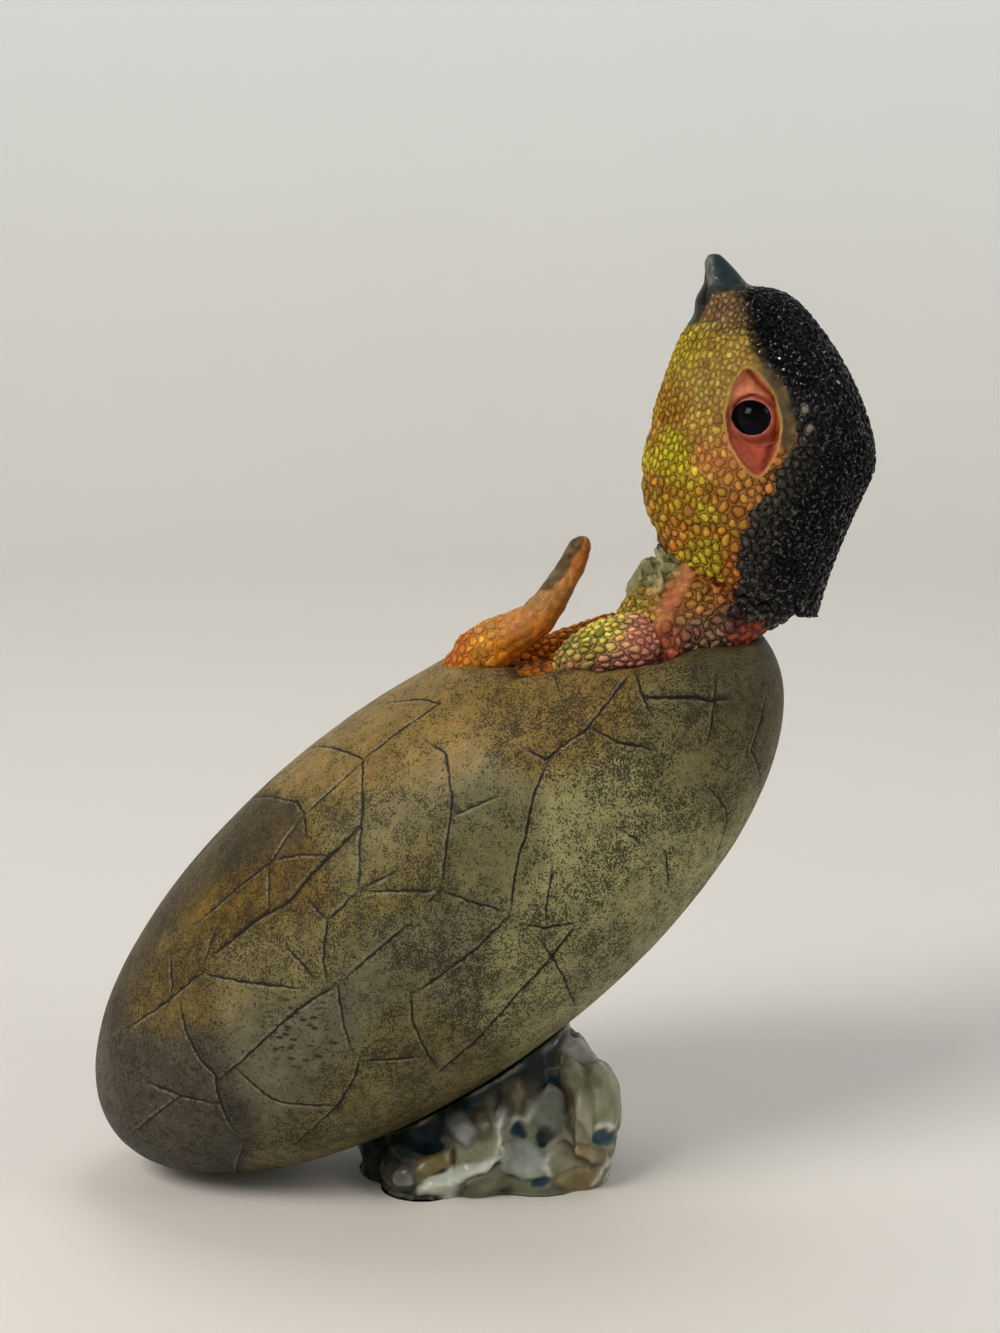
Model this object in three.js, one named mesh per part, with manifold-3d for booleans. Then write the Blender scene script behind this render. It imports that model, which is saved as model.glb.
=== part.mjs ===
// A hatchling dinosaur looking up out of a broken egg that leans on a rock: a painted resin ornament.
// Millimetres, +Z up, +X towards the hatchling's back, -Y towards its left side.
// The origin is the middle of the rock's flat sole, which stands on the table at Z = 0.
import * as THREE from "three";
import { LoftGeometry } from "three/addons/geometries/LoftGeometry.js";
import { mergeVertices } from "three/addons/utils/BufferGeometryUtils.js";
import Module from "manifold-3d";

// Clearance
const GLUE_GAP = 0.3;

// Egg
const EGG_LENGTH = 152;
const EGG_DIAMETER = 69.4;
const EGG_TILT = THREE.MathUtils.degToRad(38.3);
const EGG_MIDDLE_X = -10.1;
const EGG_TOE_CLEARANCE = 0.3;
const SHELL_WALL = 3.2;

// Broken mouth: a plane through a point over the egg's upper tip, sloping down towards the tail
const MOUTH_OVER_TIP = 0.6;
const MOUTH_SLOPE = THREE.MathUtils.degToRad(5.5);

// Rim waves along the mouth, from the tail end (0) to the tip (1), in millimetres off the plane
const NEAR_RIM = [
  [0, 0.1], [0.1, 0.2], [0.2, -0.9], [0.34, 0.3], [0.47, -0.7], [0.66, -0.3], [0.83, 1.1], [1, 0],
];
const FAR_RIM = [
  [0, 0.1], [0.11, -0.4], [0.21, -1.6], [0.34, -2.8], [0.46, -1.7], [0.62, -0.7], [0.82, 0.7], [1, 0],
];

// Rock
const ROCK_LENGTH = 52;
const ROCK_DEPTH = 38;
const ROCK_PEAK_SHARE = 0.3;
const ROCK_LAP = 7;

// Stones of the rock in shares of its half length, half depth and height: place, then half size
const ROCK_STONES = [
  { at: [0.02, 0, 0.12], size: [0.86, 0.78, 0.7] },
  { at: [0.65, -0.1, 0.27], size: [0.35, 0.76, 0.37] },
  { at: [0.45, 0, 0.52], size: [0.33, 0.6, 0.27] },
  { at: [0.34, -0.46, 0.12], size: [0.4, 0.38, 0.22] },
  { at: [-0.1, -0.62, 0.22], size: [0.34, 0.36, 0.26] },
  { at: [-0.48, -0.5, 0.08], size: [0.36, 0.42, 0.2] },
  { at: [-0.7, 0.02, 0.06], size: [0.3, 0.52, 0.16] },
  { at: [0.32, 0.56, 0.2], size: [0.42, 0.44, 0.3] },
  { at: [-0.38, 0.54, 0.1], size: [0.44, 0.4, 0.2] },
];

// Torso plug in the mouth
const PLUG_DEPTH = 20;
const PLUG_RECESS = 1.2;

// Joint under the head: its middle from the tip end of the mouth
const JOINT_BACK = -4;
const JOINT_HEIGHT = 9.9;

// Neck: its root in the plug, from the tip end of the mouth
const NECK_ROOT_FROM_TIP = 7;
const NECK_ROOT_LENGTH = 29;
const NECK_ROOT_DEPTH = 8;
const NECK_WIDTH = 25;

// Ribs of the neck from its root (0) to the joint (1): how far the front swells and the nape lifts,
// in millimetres off the straight line, and the width as a share of its width
const NECK_RIBS = [
  { share: 0, front: 0, nape: 0, wide: 0.96 },
  { share: 0.3, front: 0.2, nape: 3.2, wide: 1.02 },
  { share: 0.55, front: 0.4, nape: 3, wide: 1.04 },
  { share: 0.85, front: 1.4, nape: 1.6, wide: 1 },
  { share: 1, front: 0.2, nape: 0, wide: 0.96 },
];

// Head
const HEAD_LENGTH = 57.5;
const HEAD_DEPTH = 42;
const HEAD_WIDTH = 36;

// Ribs of the head from the neck joint to the beak: throat and crown ends as [back, up] in shares
// of the head's depth and length from the joint's middle, and the width as a share of its width
const HEAD_RIBS = [
  { throat: [-0.35, 0.112], crown: [0.33, -0.106], wide: 0.72 },
  { throat: [-0.372, 0.15], crown: [0.378, 0.024], wide: 0.85 },
  { throat: [-0.414, 0.212], crown: [0.44, 0.15], wide: 0.94 },
  { throat: [-0.44, 0.315], crown: [0.512, 0.275], wide: 0.99 },
  { throat: [-0.426, 0.402], crown: [0.557, 0.362], wide: 1 },
  { throat: [-0.39, 0.522], crown: [0.528, 0.486], wide: 0.96 },
  { throat: [-0.336, 0.645], crown: [0.443, 0.632], wide: 0.84 },
  { throat: [-0.279, 0.755], crown: [0.328, 0.763], wide: 0.67 },
  { throat: [-0.217, 0.81], crown: [0.203, 0.864], wide: 0.5 },
  { throat: [-0.21, 0.862], crown: [0.095, 0.898], wide: 0.35 },
  { throat: [-0.181, 0.903], crown: [0.005, 0.903], wide: 0.235 },
  { throat: [-0.183, 0.941], crown: [-0.055, 0.948], wide: 0.15 },
  { throat: [-0.172, 0.98], crown: [-0.105, 0.985], wide: 0.08 },
  { throat: [-0.158, 0.997], crown: [-0.128, 0.999], wide: 0.03 },
];

// Eyes and their hollows: their place in shares of the head's depth and length from the joint
const EYE_DIAMETER = 9;
const EYE_SINK = 4.3;
const EYE_BACK = 0.012;
const EYE_UP = 0.526;
const ORBIT_LENGTH = 18;
const ORBIT_WIDTH = 11;
const ORBIT_DEPTH = 2.2;
const ORBIT_TILT = THREE.MathUtils.degToRad(10.8);

// Tail: path from the tail end of the mouth as [along, up], and radii at the same points
const TAIL_PATH = [
  [9.5, -10], [5.6, -1.8], [9.6, 3.2], [14, 5.8], [17.8, 8.2], [20.4, 11.9], [23, 17.2], [25.2, 23.3],
];
const TAIL_RADII = [4.4, 5.6, 5.1, 4.1, 3.6, 3.2, 2.7, 2.3];

// Forearms: paths from the middle of the mouth as [along, in from the rim, up], and radii at the same points
const LEFT_ARM_PATH = [[10, 10.9, 3.4], [0.5, 9.9, 1.8], [-8, 9.5, -2.8]];
const LEFT_ARM_RADII = [5, 5, 3.6];
const RIGHT_ARM_PATH = [[8, 11.5, 1], [-3, 12.4, -2], [-11, 13, -5.6]];
const RIGHT_ARM_RADII = [5, 4.8, 3.8];

// Dowels
const SEAT_DOWEL_DIAMETER = 4;
const SEAT_DOWEL_DEPTH = 9;
const SEAT_DOWEL_SPACING = 13;
const SEAT_DOWEL_SHIFT = -4;
const NECK_DOWEL_DIAMETER = 3;
const NECK_DOWEL_LENGTH = 20;
const TAIL_DOWEL_DIAMETER = 2;
const TAIL_DOWEL_LENGTH = 13;

// Facets
const EGG_FACETS = 40;
const LOFT_FACETS = 24;
const LOFT_STEPS = 28;
const LIMB_FACETS = 12;
const LIMB_STEPS = 16;
const LIMB_BLUNTNESS = 0.3;
const NECK_STEPS = 8;
const STONE_FACETS = 14;
const STONE_RINGS = 8;
const EYE_FACETS = 16;
const DOWEL_FACETS = 16;

const UP = new THREE.Vector3(0, 0, 1);
const ACROSS = new THREE.Vector3(0, 1, 0);

const wasm = await Module();
wasm.setup();

/** A closed geometry as a solid that can be joined and cut. */
function solid(geometry) {
  const bare = new THREE.BufferGeometry();
  bare.setAttribute("position", geometry.attributes.position);
  bare.setIndex(geometry.index);
  const merged = mergeVertices(bare, 1e-4);
  const corners = merged.index.array;
  const kept = [];
  for (let i = 0; i < corners.length; i += 3) {
    const [a, b, c] = corners.subarray(i, i + 3);
    if (a !== b && b !== c && c !== a) kept.push(a, b, c);
  }
  return new wasm.Manifold(new wasm.Mesh({
    numProp: 3,
    vertProperties: new Float32Array(merged.attributes.position.array),
    triVerts: new Uint32Array(kept),
  }));
}

/** The surface of a solid as a geometry. */
function surface(body) {
  const mesh = body.getMesh();
  const geometry = new THREE.BufferGeometry();
  geometry.setAttribute("position", new THREE.BufferAttribute(mesh.vertProperties, 3));
  geometry.setIndex(new THREE.BufferAttribute(mesh.triVerts, 1));
  geometry.computeVertexNormals();
  return geometry;
}

/** A named piece with its own painted material. */
function piece(name, geometry, color, roughness, metalness = 0) {
  const mesh = new THREE.Mesh(geometry, new THREE.MeshStandardMaterial({ color, roughness, metalness }));
  mesh.name = name;
  return mesh;
}

/** A point in the plane of symmetry. */
function inProfile(x, z) {
  return new THREE.Vector3(x, 0, z);
}

// Egg: a spheroid whose lowest point clears the table
const EGG_HALF = EGG_LENGTH / 2;
const EGG_RADIUS = EGG_DIAMETER / 2;
const EGG_DROP = Math.hypot(EGG_HALF * Math.sin(EGG_TILT), EGG_RADIUS * Math.cos(EGG_TILT));
const EGG_MIDDLE = inProfile(EGG_MIDDLE_X, EGG_DROP + EGG_TOE_CLEARANCE);
const EGG_AXIS = inProfile(Math.cos(EGG_TILT), Math.sin(EGG_TILT));
const EGG_TIP = EGG_MIDDLE.clone().addScaledVector(EGG_AXIS, EGG_HALF);

/** The egg's spheroid, grown outwards or, with a negative growth, inwards. */
function spheroid(growth) {
  const profile = new THREE.EllipseCurve(
    0, 0, EGG_RADIUS + growth, EGG_HALF + growth, -Math.PI / 2, Math.PI / 2,
  ).getPoints(EGG_FACETS / 2);
  profile[0].x = 0;
  profile.at(-1).x = 0;
  const geometry = new THREE.LatheGeometry(profile, EGG_FACETS);
  geometry.applyQuaternion(new THREE.Quaternion().setFromUnitVectors(ACROSS, EGG_AXIS));
  return geometry.translate(...EGG_MIDDLE);
}

/** The two distances along a line in the plane of symmetry at which it crosses the grown spheroid. */
function crossings(start, direction, growth) {
  const half = EGG_HALF + growth;
  const radius = EGG_RADIUS + growth;
  const offset = start.clone().sub(EGG_MIDDLE);
  const side = inProfile(-EGG_AXIS.z, EGG_AXIS.x);
  const along = [offset.dot(EGG_AXIS) / half, direction.dot(EGG_AXIS) / half];
  const aside = [offset.dot(side) / radius, direction.dot(side) / radius];
  const square = along[1] ** 2 + aside[1] ** 2;
  const linear = along[0] * along[1] + aside[0] * aside[1];
  const rest = along[0] ** 2 + aside[0] ** 2 - 1;
  const root = Math.sqrt(linear ** 2 - square * rest);
  return [(-linear - root) / square, (-linear + root) / square];
}

/** The half width of the grown spheroid at a point of the plane of symmetry. */
function halfWidthAt(point, growth) {
  const radius = EGG_RADIUS + growth;
  const fromMiddle = point.clone().sub(EGG_MIDDLE);
  const along = fromMiddle.dot(EGG_AXIS);
  const aside = Math.sqrt(fromMiddle.lengthSq() - along ** 2);
  return radius * Math.sqrt(1 - (along / (EGG_HALF + growth)) ** 2 - (aside / radius) ** 2);
}

// Mouth: the chord that its plane cuts through the egg, from the tail end to the tip end
const MOUTH_POINT = EGG_TIP.clone().addScaledVector(UP, MOUTH_OVER_TIP);
const MOUTH_DIRECTION = inProfile(Math.cos(MOUTH_SLOPE), Math.sin(MOUTH_SLOPE));

/** A point of the mouth's plane, at a signed distance from the point over the tip. */
function onMouth(distance) {
  return MOUTH_POINT.clone().addScaledVector(MOUTH_DIRECTION, distance);
}

const [MOUTH_START, MOUTH_STOP] = crossings(MOUTH_POINT, MOUTH_DIRECTION, 0);
const TAIL_END = onMouth(MOUTH_START);
const TIP_END = onMouth(MOUTH_STOP);
const MOUTH_MIDDLE = TAIL_END.clone().lerp(TIP_END, 0.5);
const MOUTH_HALF_WIDTH = halfWidthAt(MOUTH_MIDDLE, 0);

/** The solid over one side of the broken rim, on the near side (-1) or the far side (1). */
function overRim(waves, side) {
  const reach = EGG_DIAMETER;
  const rim = new THREE.SplineCurve(waves.map(([share, rise]) => {
    const point = TAIL_END.clone().lerp(TIP_END, share).addScaledVector(UP, rise);
    return new THREE.Vector2(point.x, point.z);
  })).getPoints(waves.length * 3);
  const before = onMouth(MOUTH_START - reach);
  const after = onMouth(MOUTH_STOP + reach);
  const outline = [
    new THREE.Vector2(before.x, before.z),
    ...rim,
    new THREE.Vector2(after.x, after.z),
    new THREE.Vector2(after.x, after.z + reach),
    new THREE.Vector2(before.x, after.z + reach),
  ];
  const seam = 0.01;
  const geometry = new THREE.ExtrudeGeometry(new THREE.Shape(outline), {
    depth: reach + seam,
    bevelEnabled: false,
  });
  geometry.rotateX(Math.PI / 2);
  return geometry.translate(0, side < 0 ? seam : reach, 0);
}

const MOUTH_CUT = solid(overRim(NEAR_RIM, -1)).add(solid(overRim(FAR_RIM, 1)));

/** A loft through ribs, each running from a throat point to a crown point in the plane of symmetry. */
function ribLoft(ribs, steps, growth = 0) {
  const throat = new THREE.SplineCurve(ribs.map((rib) => rib.throat));
  const crown = new THREE.SplineCurve(ribs.map((rib) => rib.crown));
  const wide = new THREE.SplineCurve(ribs.map((rib, i) => new THREE.Vector2(i, rib.halfWidth)));
  const sections = [];
  for (let step = 0; step <= steps; step += 1) {
    const share = step / steps;
    const front = throat.getPoint(share);
    const back = crown.getPoint(share);
    const middle = front.clone().lerp(back, 0.5);
    const reach = back.clone().sub(front).multiplyScalar(0.5);
    reach.setLength(reach.length() + growth);
    const halfWidth = wide.getPoint(share).y + growth;
    const section = [];
    for (let facet = 0; facet < LOFT_FACETS; facet += 1) {
      const angle = (facet / LOFT_FACETS) * 2 * Math.PI;
      const spot = middle.clone().addScaledVector(reach, Math.cos(angle));
      section.push(new THREE.Vector3(spot.x, halfWidth * Math.sin(angle), spot.y));
    }
    sections.push(section);
  }
  return new LoftGeometry(sections, { capStart: true, capEnd: true });
}

/** A limb along a smooth path with its radius at each path point, round at both ends. */
function limb(points, radii, growth = 0) {
  const path = new THREE.CatmullRomCurve3(points);
  const thickness = new THREE.SplineCurve(radii.map((radius, i) => new THREE.Vector2(i, radius)));
  const length = path.getLength();
  const sections = [];
  for (let step = 0; step <= LIMB_STEPS; step += 1) {
    const share = 0.5 - 0.5 * Math.cos((step / LIMB_STEPS) * Math.PI);
    const radius = thickness.getPoint(path.getUtoTmapping(share)).y;
    const toEnd = Math.min(share, 1 - share) * length;
    const dome = Math.sqrt(1 - Math.max(0, 1 - toEnd / radius) ** 2);
    const girth = Math.max(dome, LIMB_BLUNTNESS) * radius + growth;
    const tangent = path.getTangentAt(share);
    const normal = ACROSS.clone().projectOnPlane(tangent).normalize();
    const binormal = tangent.clone().cross(normal);
    const endGrowth = growth * (Number(step === LIMB_STEPS) - Number(step === 0));
    const middle = path.getPointAt(share).addScaledVector(tangent, endGrowth);
    const section = [];
    for (let facet = 0; facet < LIMB_FACETS; facet += 1) {
      const angle = (facet / LIMB_FACETS) * 2 * Math.PI;
      section.push(middle.clone()
        .addScaledVector(normal, girth * Math.cos(angle))
        .addScaledVector(binormal, girth * Math.sin(angle)));
    }
    sections.push(section);
  }
  return new LoftGeometry(sections, { capStart: true, capEnd: true });
}

/** A rod between two points, as a mesh that is placed by its position and turn. */
function rod(name, start, end, diameter) {
  const length = start.distanceTo(end);
  const geometry = new THREE.CylinderGeometry(diameter / 2, diameter / 2, length, DOWEL_FACETS);
  const mesh = piece(name, geometry, 0x9aa0a3, 0.35, 0.9);
  mesh.position.copy(start).lerp(end, 0.5);
  mesh.quaternion.setFromUnitVectors(ACROSS, end.clone().sub(start).normalize());
  return mesh;
}

/** The drilled hole for a rod, longer at both ends by the given run-out. */
function drilled(start, end, diameter, startRunOut = GLUE_GAP, endRunOut = GLUE_GAP) {
  const direction = end.clone().sub(start).normalize();
  const hole = rod(
    "hole",
    start.clone().addScaledVector(direction, -startRunOut),
    end.clone().addScaledVector(direction, endRunOut),
    diameter + 2 * GLUE_GAP,
  );
  hole.updateMatrix();
  return solid(hole.geometry.applyMatrix4(hole.matrix));
}

/** A forearm's path inside the rim, on the left (-1) or the right (1). */
function armPoints(path, side) {
  return path.map(([along, inset, up]) => MOUTH_MIDDLE.clone()
    .add(new THREE.Vector3(along, side * (MOUTH_HALF_WIDTH - inset), up)));
}

// Hatchling's limbs, set from the mouth
const TAIL_POINTS = TAIL_PATH.map(([along, up]) => TAIL_END.clone().add(inProfile(along, up)));
const LEFT_ARM_POINTS = armPoints(LEFT_ARM_PATH, -1);
const RIGHT_ARM_POINTS = armPoints(RIGHT_ARM_PATH, 1);
const LIMB_POCKETS = solid(limb(TAIL_POINTS, TAIL_RADII, GLUE_GAP))
  .add(solid(limb(LEFT_ARM_POINTS, LEFT_ARM_RADII, GLUE_GAP)))
  .add(solid(limb(RIGHT_ARM_POINTS, RIGHT_ARM_RADII, GLUE_GAP)));

// Joint under the head, square to the head's first rib
const JOINT = TIP_END.clone().add(inProfile(JOINT_BACK, JOINT_HEIGHT));
const headRibs = HEAD_RIBS.map(({ throat, crown, wide }) => ({
  throat: new THREE.Vector2(throat[0] * HEAD_DEPTH, throat[1] * HEAD_LENGTH),
  crown: new THREE.Vector2(crown[0] * HEAD_DEPTH, crown[1] * HEAD_LENGTH),
  halfWidth: (wide * HEAD_WIDTH) / 2,
}));
const jointLine = headRibs[0].crown.clone().sub(headRibs[0].throat).normalize();
const JOINT_NORMAL = inProfile(-jointLine.y, jointLine.x);

// Dowels: two from the rock through the shell, square to the egg's underside, one up the neck, one
// across the root of the tail
/** The height of the egg's underside over a point of the table's middle line. */
function undersideAt(x) {
  return crossings(inProfile(x, 0), UP, 0)[0];
}

const SEAT_SLOPE_STEP = 0.5;
const seatTangent = inProfile(
  2 * SEAT_SLOPE_STEP,
  undersideAt(SEAT_DOWEL_SHIFT + SEAT_SLOPE_STEP) - undersideAt(SEAT_DOWEL_SHIFT - SEAT_SLOPE_STEP),
).normalize();
const seatNormal = inProfile(seatTangent.z, -seatTangent.x);
const seatMiddle = inProfile(SEAT_DOWEL_SHIFT, undersideAt(SEAT_DOWEL_SHIFT));

/** The two ends of a seat dowel, from the inside of the shell into the rock. */
function seatDowel(side) {
  const foot = seatMiddle.clone().addScaledVector(seatTangent, (side * SEAT_DOWEL_SPACING) / 2);
  return [
    foot.clone().addScaledVector(seatNormal, -SHELL_WALL),
    foot.clone().addScaledVector(seatNormal, SEAT_DOWEL_DEPTH),
  ];
}

const LOW_DOWEL = seatDowel(-1);
const HIGH_DOWEL = seatDowel(1);
const NECK_DOWEL = [
  JOINT.clone().addScaledVector(JOINT_NORMAL, -NECK_DOWEL_LENGTH / 2),
  JOINT.clone().addScaledVector(JOINT_NORMAL, NECK_DOWEL_LENGTH / 2),
];
const tailRoot = TAIL_POINTS[0].clone().lerp(TAIL_POINTS[1], 0.5);
const TAIL_DOWEL = [tailRoot, tailRoot.clone().add(inProfile(TAIL_DOWEL_LENGTH, 0))];
const SEAT_HOLES = drilled(...LOW_DOWEL, SEAT_DOWEL_DIAMETER, SHELL_WALL)
  .add(drilled(...HIGH_DOWEL, SEAT_DOWEL_DIAMETER, SHELL_WALL));
const NECK_HOLE = drilled(...NECK_DOWEL, NECK_DOWEL_DIAMETER);
const TAIL_HOLE = drilled(...TAIL_DOWEL, TAIL_DOWEL_DIAMETER);

/** The neck as a solid from its root in the plug to the joint. */
function neck(growth) {
  const rootCrown = onMouth(MOUTH_STOP - NECK_ROOT_FROM_TIP).addScaledVector(UP, -NECK_ROOT_DEPTH);
  const rootThroat = rootCrown.clone().addScaledVector(MOUTH_DIRECTION, -NECK_ROOT_LENGTH);
  const top = JOINT.clone().addScaledVector(JOINT_NORMAL, -GLUE_GAP);
  const topThroat = top.clone().add(inProfile(headRibs[0].throat.x, headRibs[0].throat.y));
  const topCrown = top.clone().add(inProfile(headRibs[0].crown.x, headRibs[0].crown.y));
  const ribs = NECK_RIBS.map(({ share, front, nape, wide }) => {
    const throat = rootThroat.clone().lerp(topThroat, share).add(inProfile(-front, 0));
    const crown = rootCrown.clone().lerp(topCrown, share).add(inProfile(0, nape));
    return {
      throat: new THREE.Vector2(throat.x, throat.z),
      crown: new THREE.Vector2(crown.x, crown.z),
      halfWidth: (wide * NECK_WIDTH) / 2,
    };
  });
  return solid(ribLoft(ribs, NECK_STEPS, growth));
}

/** The plug that fills the mouth: upright sides that pass through it, under a top along its plane. */
function plug() {
  const inset = -SHELL_WALL - GLUE_GAP;
  const [start, stop] = crossings(MOUTH_POINT, MOUTH_DIRECTION, inset);
  const middle = onMouth((start + stop) / 2);
  const halfWidth = halfWidthAt(middle, inset);
  const sections = [PLUG_RECESS + PLUG_DEPTH, PLUG_RECESS].map((drop) => {
    const section = [];
    for (let facet = 0; facet < LOFT_FACETS; facet += 1) {
      const angle = (facet / LOFT_FACETS) * 2 * Math.PI;
      section.push(middle.clone()
        .addScaledVector(MOUTH_DIRECTION, ((stop - start) / 2) * Math.cos(angle))
        .addScaledVector(ACROSS, halfWidth * Math.sin(angle))
        .addScaledVector(UP, -drop));
    }
    return section;
  });
  const upright = solid(new LoftGeometry(sections, { capStart: true, capEnd: true }));
  return upright.intersect(solid(spheroid(inset)));
}

/** The rock: stones run together, cut flat at the sole and hollowed by the egg. */
function rock() {
  const height = undersideAt(ROCK_LENGTH * ROCK_PEAK_SHARE) + ROCK_LAP;
  const half = [ROCK_LENGTH / 2, ROCK_DEPTH / 2, height];
  const stones = ROCK_STONES.map(({ at, size }) => {
    const stone = new THREE.SphereGeometry(1, STONE_FACETS, STONE_RINGS).rotateX(Math.PI / 2);
    stone.scale(...size.map((share, i) => share * half[i]));
    return solid(stone.translate(...at.map((share, i) => share * half[i])));
  });
  const below = new THREE.BoxGeometry(2 * ROCK_LENGTH, 2 * ROCK_LENGTH, ROCK_LENGTH);
  return stones.reduce((whole, stone) => whole.add(stone))
    .subtract(solid(below.translate(0, 0, -ROCK_LENGTH / 2)))
    .subtract(solid(spheroid(GLUE_GAP)))
    .subtract(SEAT_HOLES);
}

/** The shell: a hollow egg with its mouth broken open, relieved where the hatchling leans on the rim. */
function shell() {
  return solid(spheroid(0))
    .subtract(solid(spheroid(-SHELL_WALL)))
    .subtract(MOUTH_CUT)
    .subtract(LIMB_POCKETS)
    .subtract(neck(GLUE_GAP))
    .subtract(SEAT_HOLES);
}

/** The torso: plug and neck in one casting, with pockets for the limbs. */
function torso() {
  return plug().add(neck(0)).subtract(LIMB_POCKETS).subtract(NECK_HOLE).subtract(TAIL_HOLE);
}

/** The tail, drilled for its cross pin. */
function tail() {
  return solid(limb(TAIL_POINTS, TAIL_RADII)).subtract(TAIL_HOLE);
}

/** The half width of the head's skin at a point of its profile. */
function skinHalfWidth(back, up) {
  const throat = new THREE.SplineCurve(headRibs.map((rib) => rib.throat));
  const crown = new THREE.SplineCurve(headRibs.map((rib) => rib.crown));
  const wide = new THREE.SplineCurve(headRibs.map((rib, i) => new THREE.Vector2(i, rib.halfWidth)));
  const spot = new THREE.Vector2(back, up);
  let best = { miss: Infinity, halfWidth: 0 };
  for (let step = 0; step <= LOFT_STEPS; step += 1) {
    const share = step / LOFT_STEPS;
    const front = throat.getPoint(share);
    const line = crown.getPoint(share).sub(front);
    const miss = Math.abs(line.cross(spot.clone().sub(front))) / line.length();
    const across = (2 * spot.clone().sub(front).dot(line)) / line.lengthSq() - 1;
    const halfWidth = wide.getPoint(share).y * Math.sqrt(Math.max(0, 1 - across ** 2));
    if (miss < best.miss) best = { miss, halfWidth };
  }
  return best.halfWidth;
}

const EYE_SPOT = inProfile(EYE_BACK * HEAD_DEPTH, EYE_UP * HEAD_LENGTH);
const EYE_SKIN = skinHalfWidth(EYE_SPOT.x, EYE_SPOT.z);

/** The hollow round an eye and the socket of its bead, on the left (-1) or the right (1). */
function eyeHollow(side) {
  const orbit = new THREE.SphereGeometry(1, EYE_FACETS, EYE_FACETS / 2);
  orbit.scale(ORBIT_WIDTH / 2, ORBIT_DEPTH, ORBIT_LENGTH / 2);
  orbit.rotateY(-ORBIT_TILT);
  orbit.translate(EYE_SPOT.x, side * EYE_SKIN, EYE_SPOT.z);
  const socket = new THREE.SphereGeometry(EYE_DIAMETER / 2 + GLUE_GAP, EYE_FACETS, EYE_FACETS / 2);
  socket.translate(EYE_SPOT.x, side * (EYE_SKIN - EYE_SINK), EYE_SPOT.z);
  return solid(orbit).add(solid(socket));
}

/** The head in its own frame, whose origin is the middle of the neck joint. */
function head() {
  const hole = NECK_HOLE.translate([-JOINT.x, -JOINT.y, -JOINT.z]);
  return solid(ribLoft(headRibs, LOFT_STEPS)).subtract(eyeHollow(-1)).subtract(eyeHollow(1)).subtract(hole);
}

/** An eye bead in the head's frame. */
function eye(name, side) {
  const ball = new THREE.SphereGeometry(EYE_DIAMETER / 2, EYE_FACETS, EYE_FACETS / 2);
  const bead = piece(name, ball, 0x0a0909, 0.05);
  bead.position.set(EYE_SPOT.x, side * (EYE_SKIN - EYE_SINK), EYE_SPOT.z);
  return bead;
}

const headGroup = new THREE.Group();
headGroup.position.copy(JOINT);
headGroup.add(
  piece("hatchling_head", surface(head()), 0x8f8a3c, 0.5),
  eye("left_eye", -1),
  eye("right_eye", 1),
);

const hatchling = new THREE.Group();
hatchling.add(
  piece("hatchling_torso", surface(torso()), 0xa8614a, 0.55),
  piece("hatchling_tail", surface(tail()), 0xb8692f, 0.5),
  piece("left_forearm", limb(LEFT_ARM_POINTS, LEFT_ARM_RADII), 0x9aa048, 0.5),
  piece("right_forearm", limb(RIGHT_ARM_POINTS, RIGHT_ARM_RADII), 0xb5652e, 0.5),
  headGroup,
);

const figurine = new THREE.Group();
figurine.add(
  piece("rock_base", surface(rock()), 0x8c8064, 0.5),
  piece("egg_shell", surface(shell()), 0x8d7d60, 0.45),
  hatchling,
  rod("seat_dowel_low", ...LOW_DOWEL, SEAT_DOWEL_DIAMETER),
  rod("seat_dowel_high", ...HIGH_DOWEL, SEAT_DOWEL_DIAMETER),
  rod("neck_dowel", ...NECK_DOWEL, NECK_DOWEL_DIAMETER),
  rod("tail_dowel", ...TAIL_DOWEL, TAIL_DOWEL_DIAMETER),
);

export default figurine;
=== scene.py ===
"""The painted surfaces of a hatchling dinosaur that looks up out of a broken egg on a rock.

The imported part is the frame. Blender works in metres and the sculpting arrays in millimetres, +Z up.
"""

import logging
import math
from dataclasses import dataclass
from enum import Enum

import bpy
import numpy as np
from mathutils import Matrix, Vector, kdtree, noise


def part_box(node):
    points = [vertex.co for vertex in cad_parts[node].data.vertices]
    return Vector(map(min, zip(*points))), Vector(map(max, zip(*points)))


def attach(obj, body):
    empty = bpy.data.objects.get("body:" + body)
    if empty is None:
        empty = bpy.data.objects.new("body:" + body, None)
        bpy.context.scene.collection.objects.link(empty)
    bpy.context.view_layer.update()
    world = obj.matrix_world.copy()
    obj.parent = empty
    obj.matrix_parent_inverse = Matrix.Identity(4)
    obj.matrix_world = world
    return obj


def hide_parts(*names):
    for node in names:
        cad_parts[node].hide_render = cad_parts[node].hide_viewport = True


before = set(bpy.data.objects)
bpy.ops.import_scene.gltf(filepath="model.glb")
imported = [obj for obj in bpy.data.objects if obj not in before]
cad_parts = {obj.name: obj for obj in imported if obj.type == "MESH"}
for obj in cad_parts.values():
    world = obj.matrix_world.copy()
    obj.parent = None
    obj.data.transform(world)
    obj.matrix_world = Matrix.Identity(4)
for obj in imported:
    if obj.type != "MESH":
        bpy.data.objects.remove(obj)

Array = np.ndarray
Colour = tuple[float, float, float]
Triple = tuple[float, float, float]
Span = tuple[float, float]
Quad = tuple[float, float, float, float]
Pixel = tuple[float, float]
Line = tuple[Pixel, ...]
Material = bpy.types.Material
Node = bpy.types.Node
Object = bpy.types.Object
Socket = bpy.types.NodeSocket
Input = Socket | Colour | float

LOG = logging.getLogger("hatchling")
MM = 0.001
ROOT = "root"
SEED = 38
# Points nearer than this many millimetres are welded, and smoothing pulls points in and lets them out again
WELD = 0.01
PULLS = (0.5, -0.53)


class Slot(Enum):
    """Material slot names for the pieces' finishes; each piece is handed one, which is not used."""

    ROCK = "rock"
    SHELL = "shell"
    SKIN = "skin"
    EYE = "eye"


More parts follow.
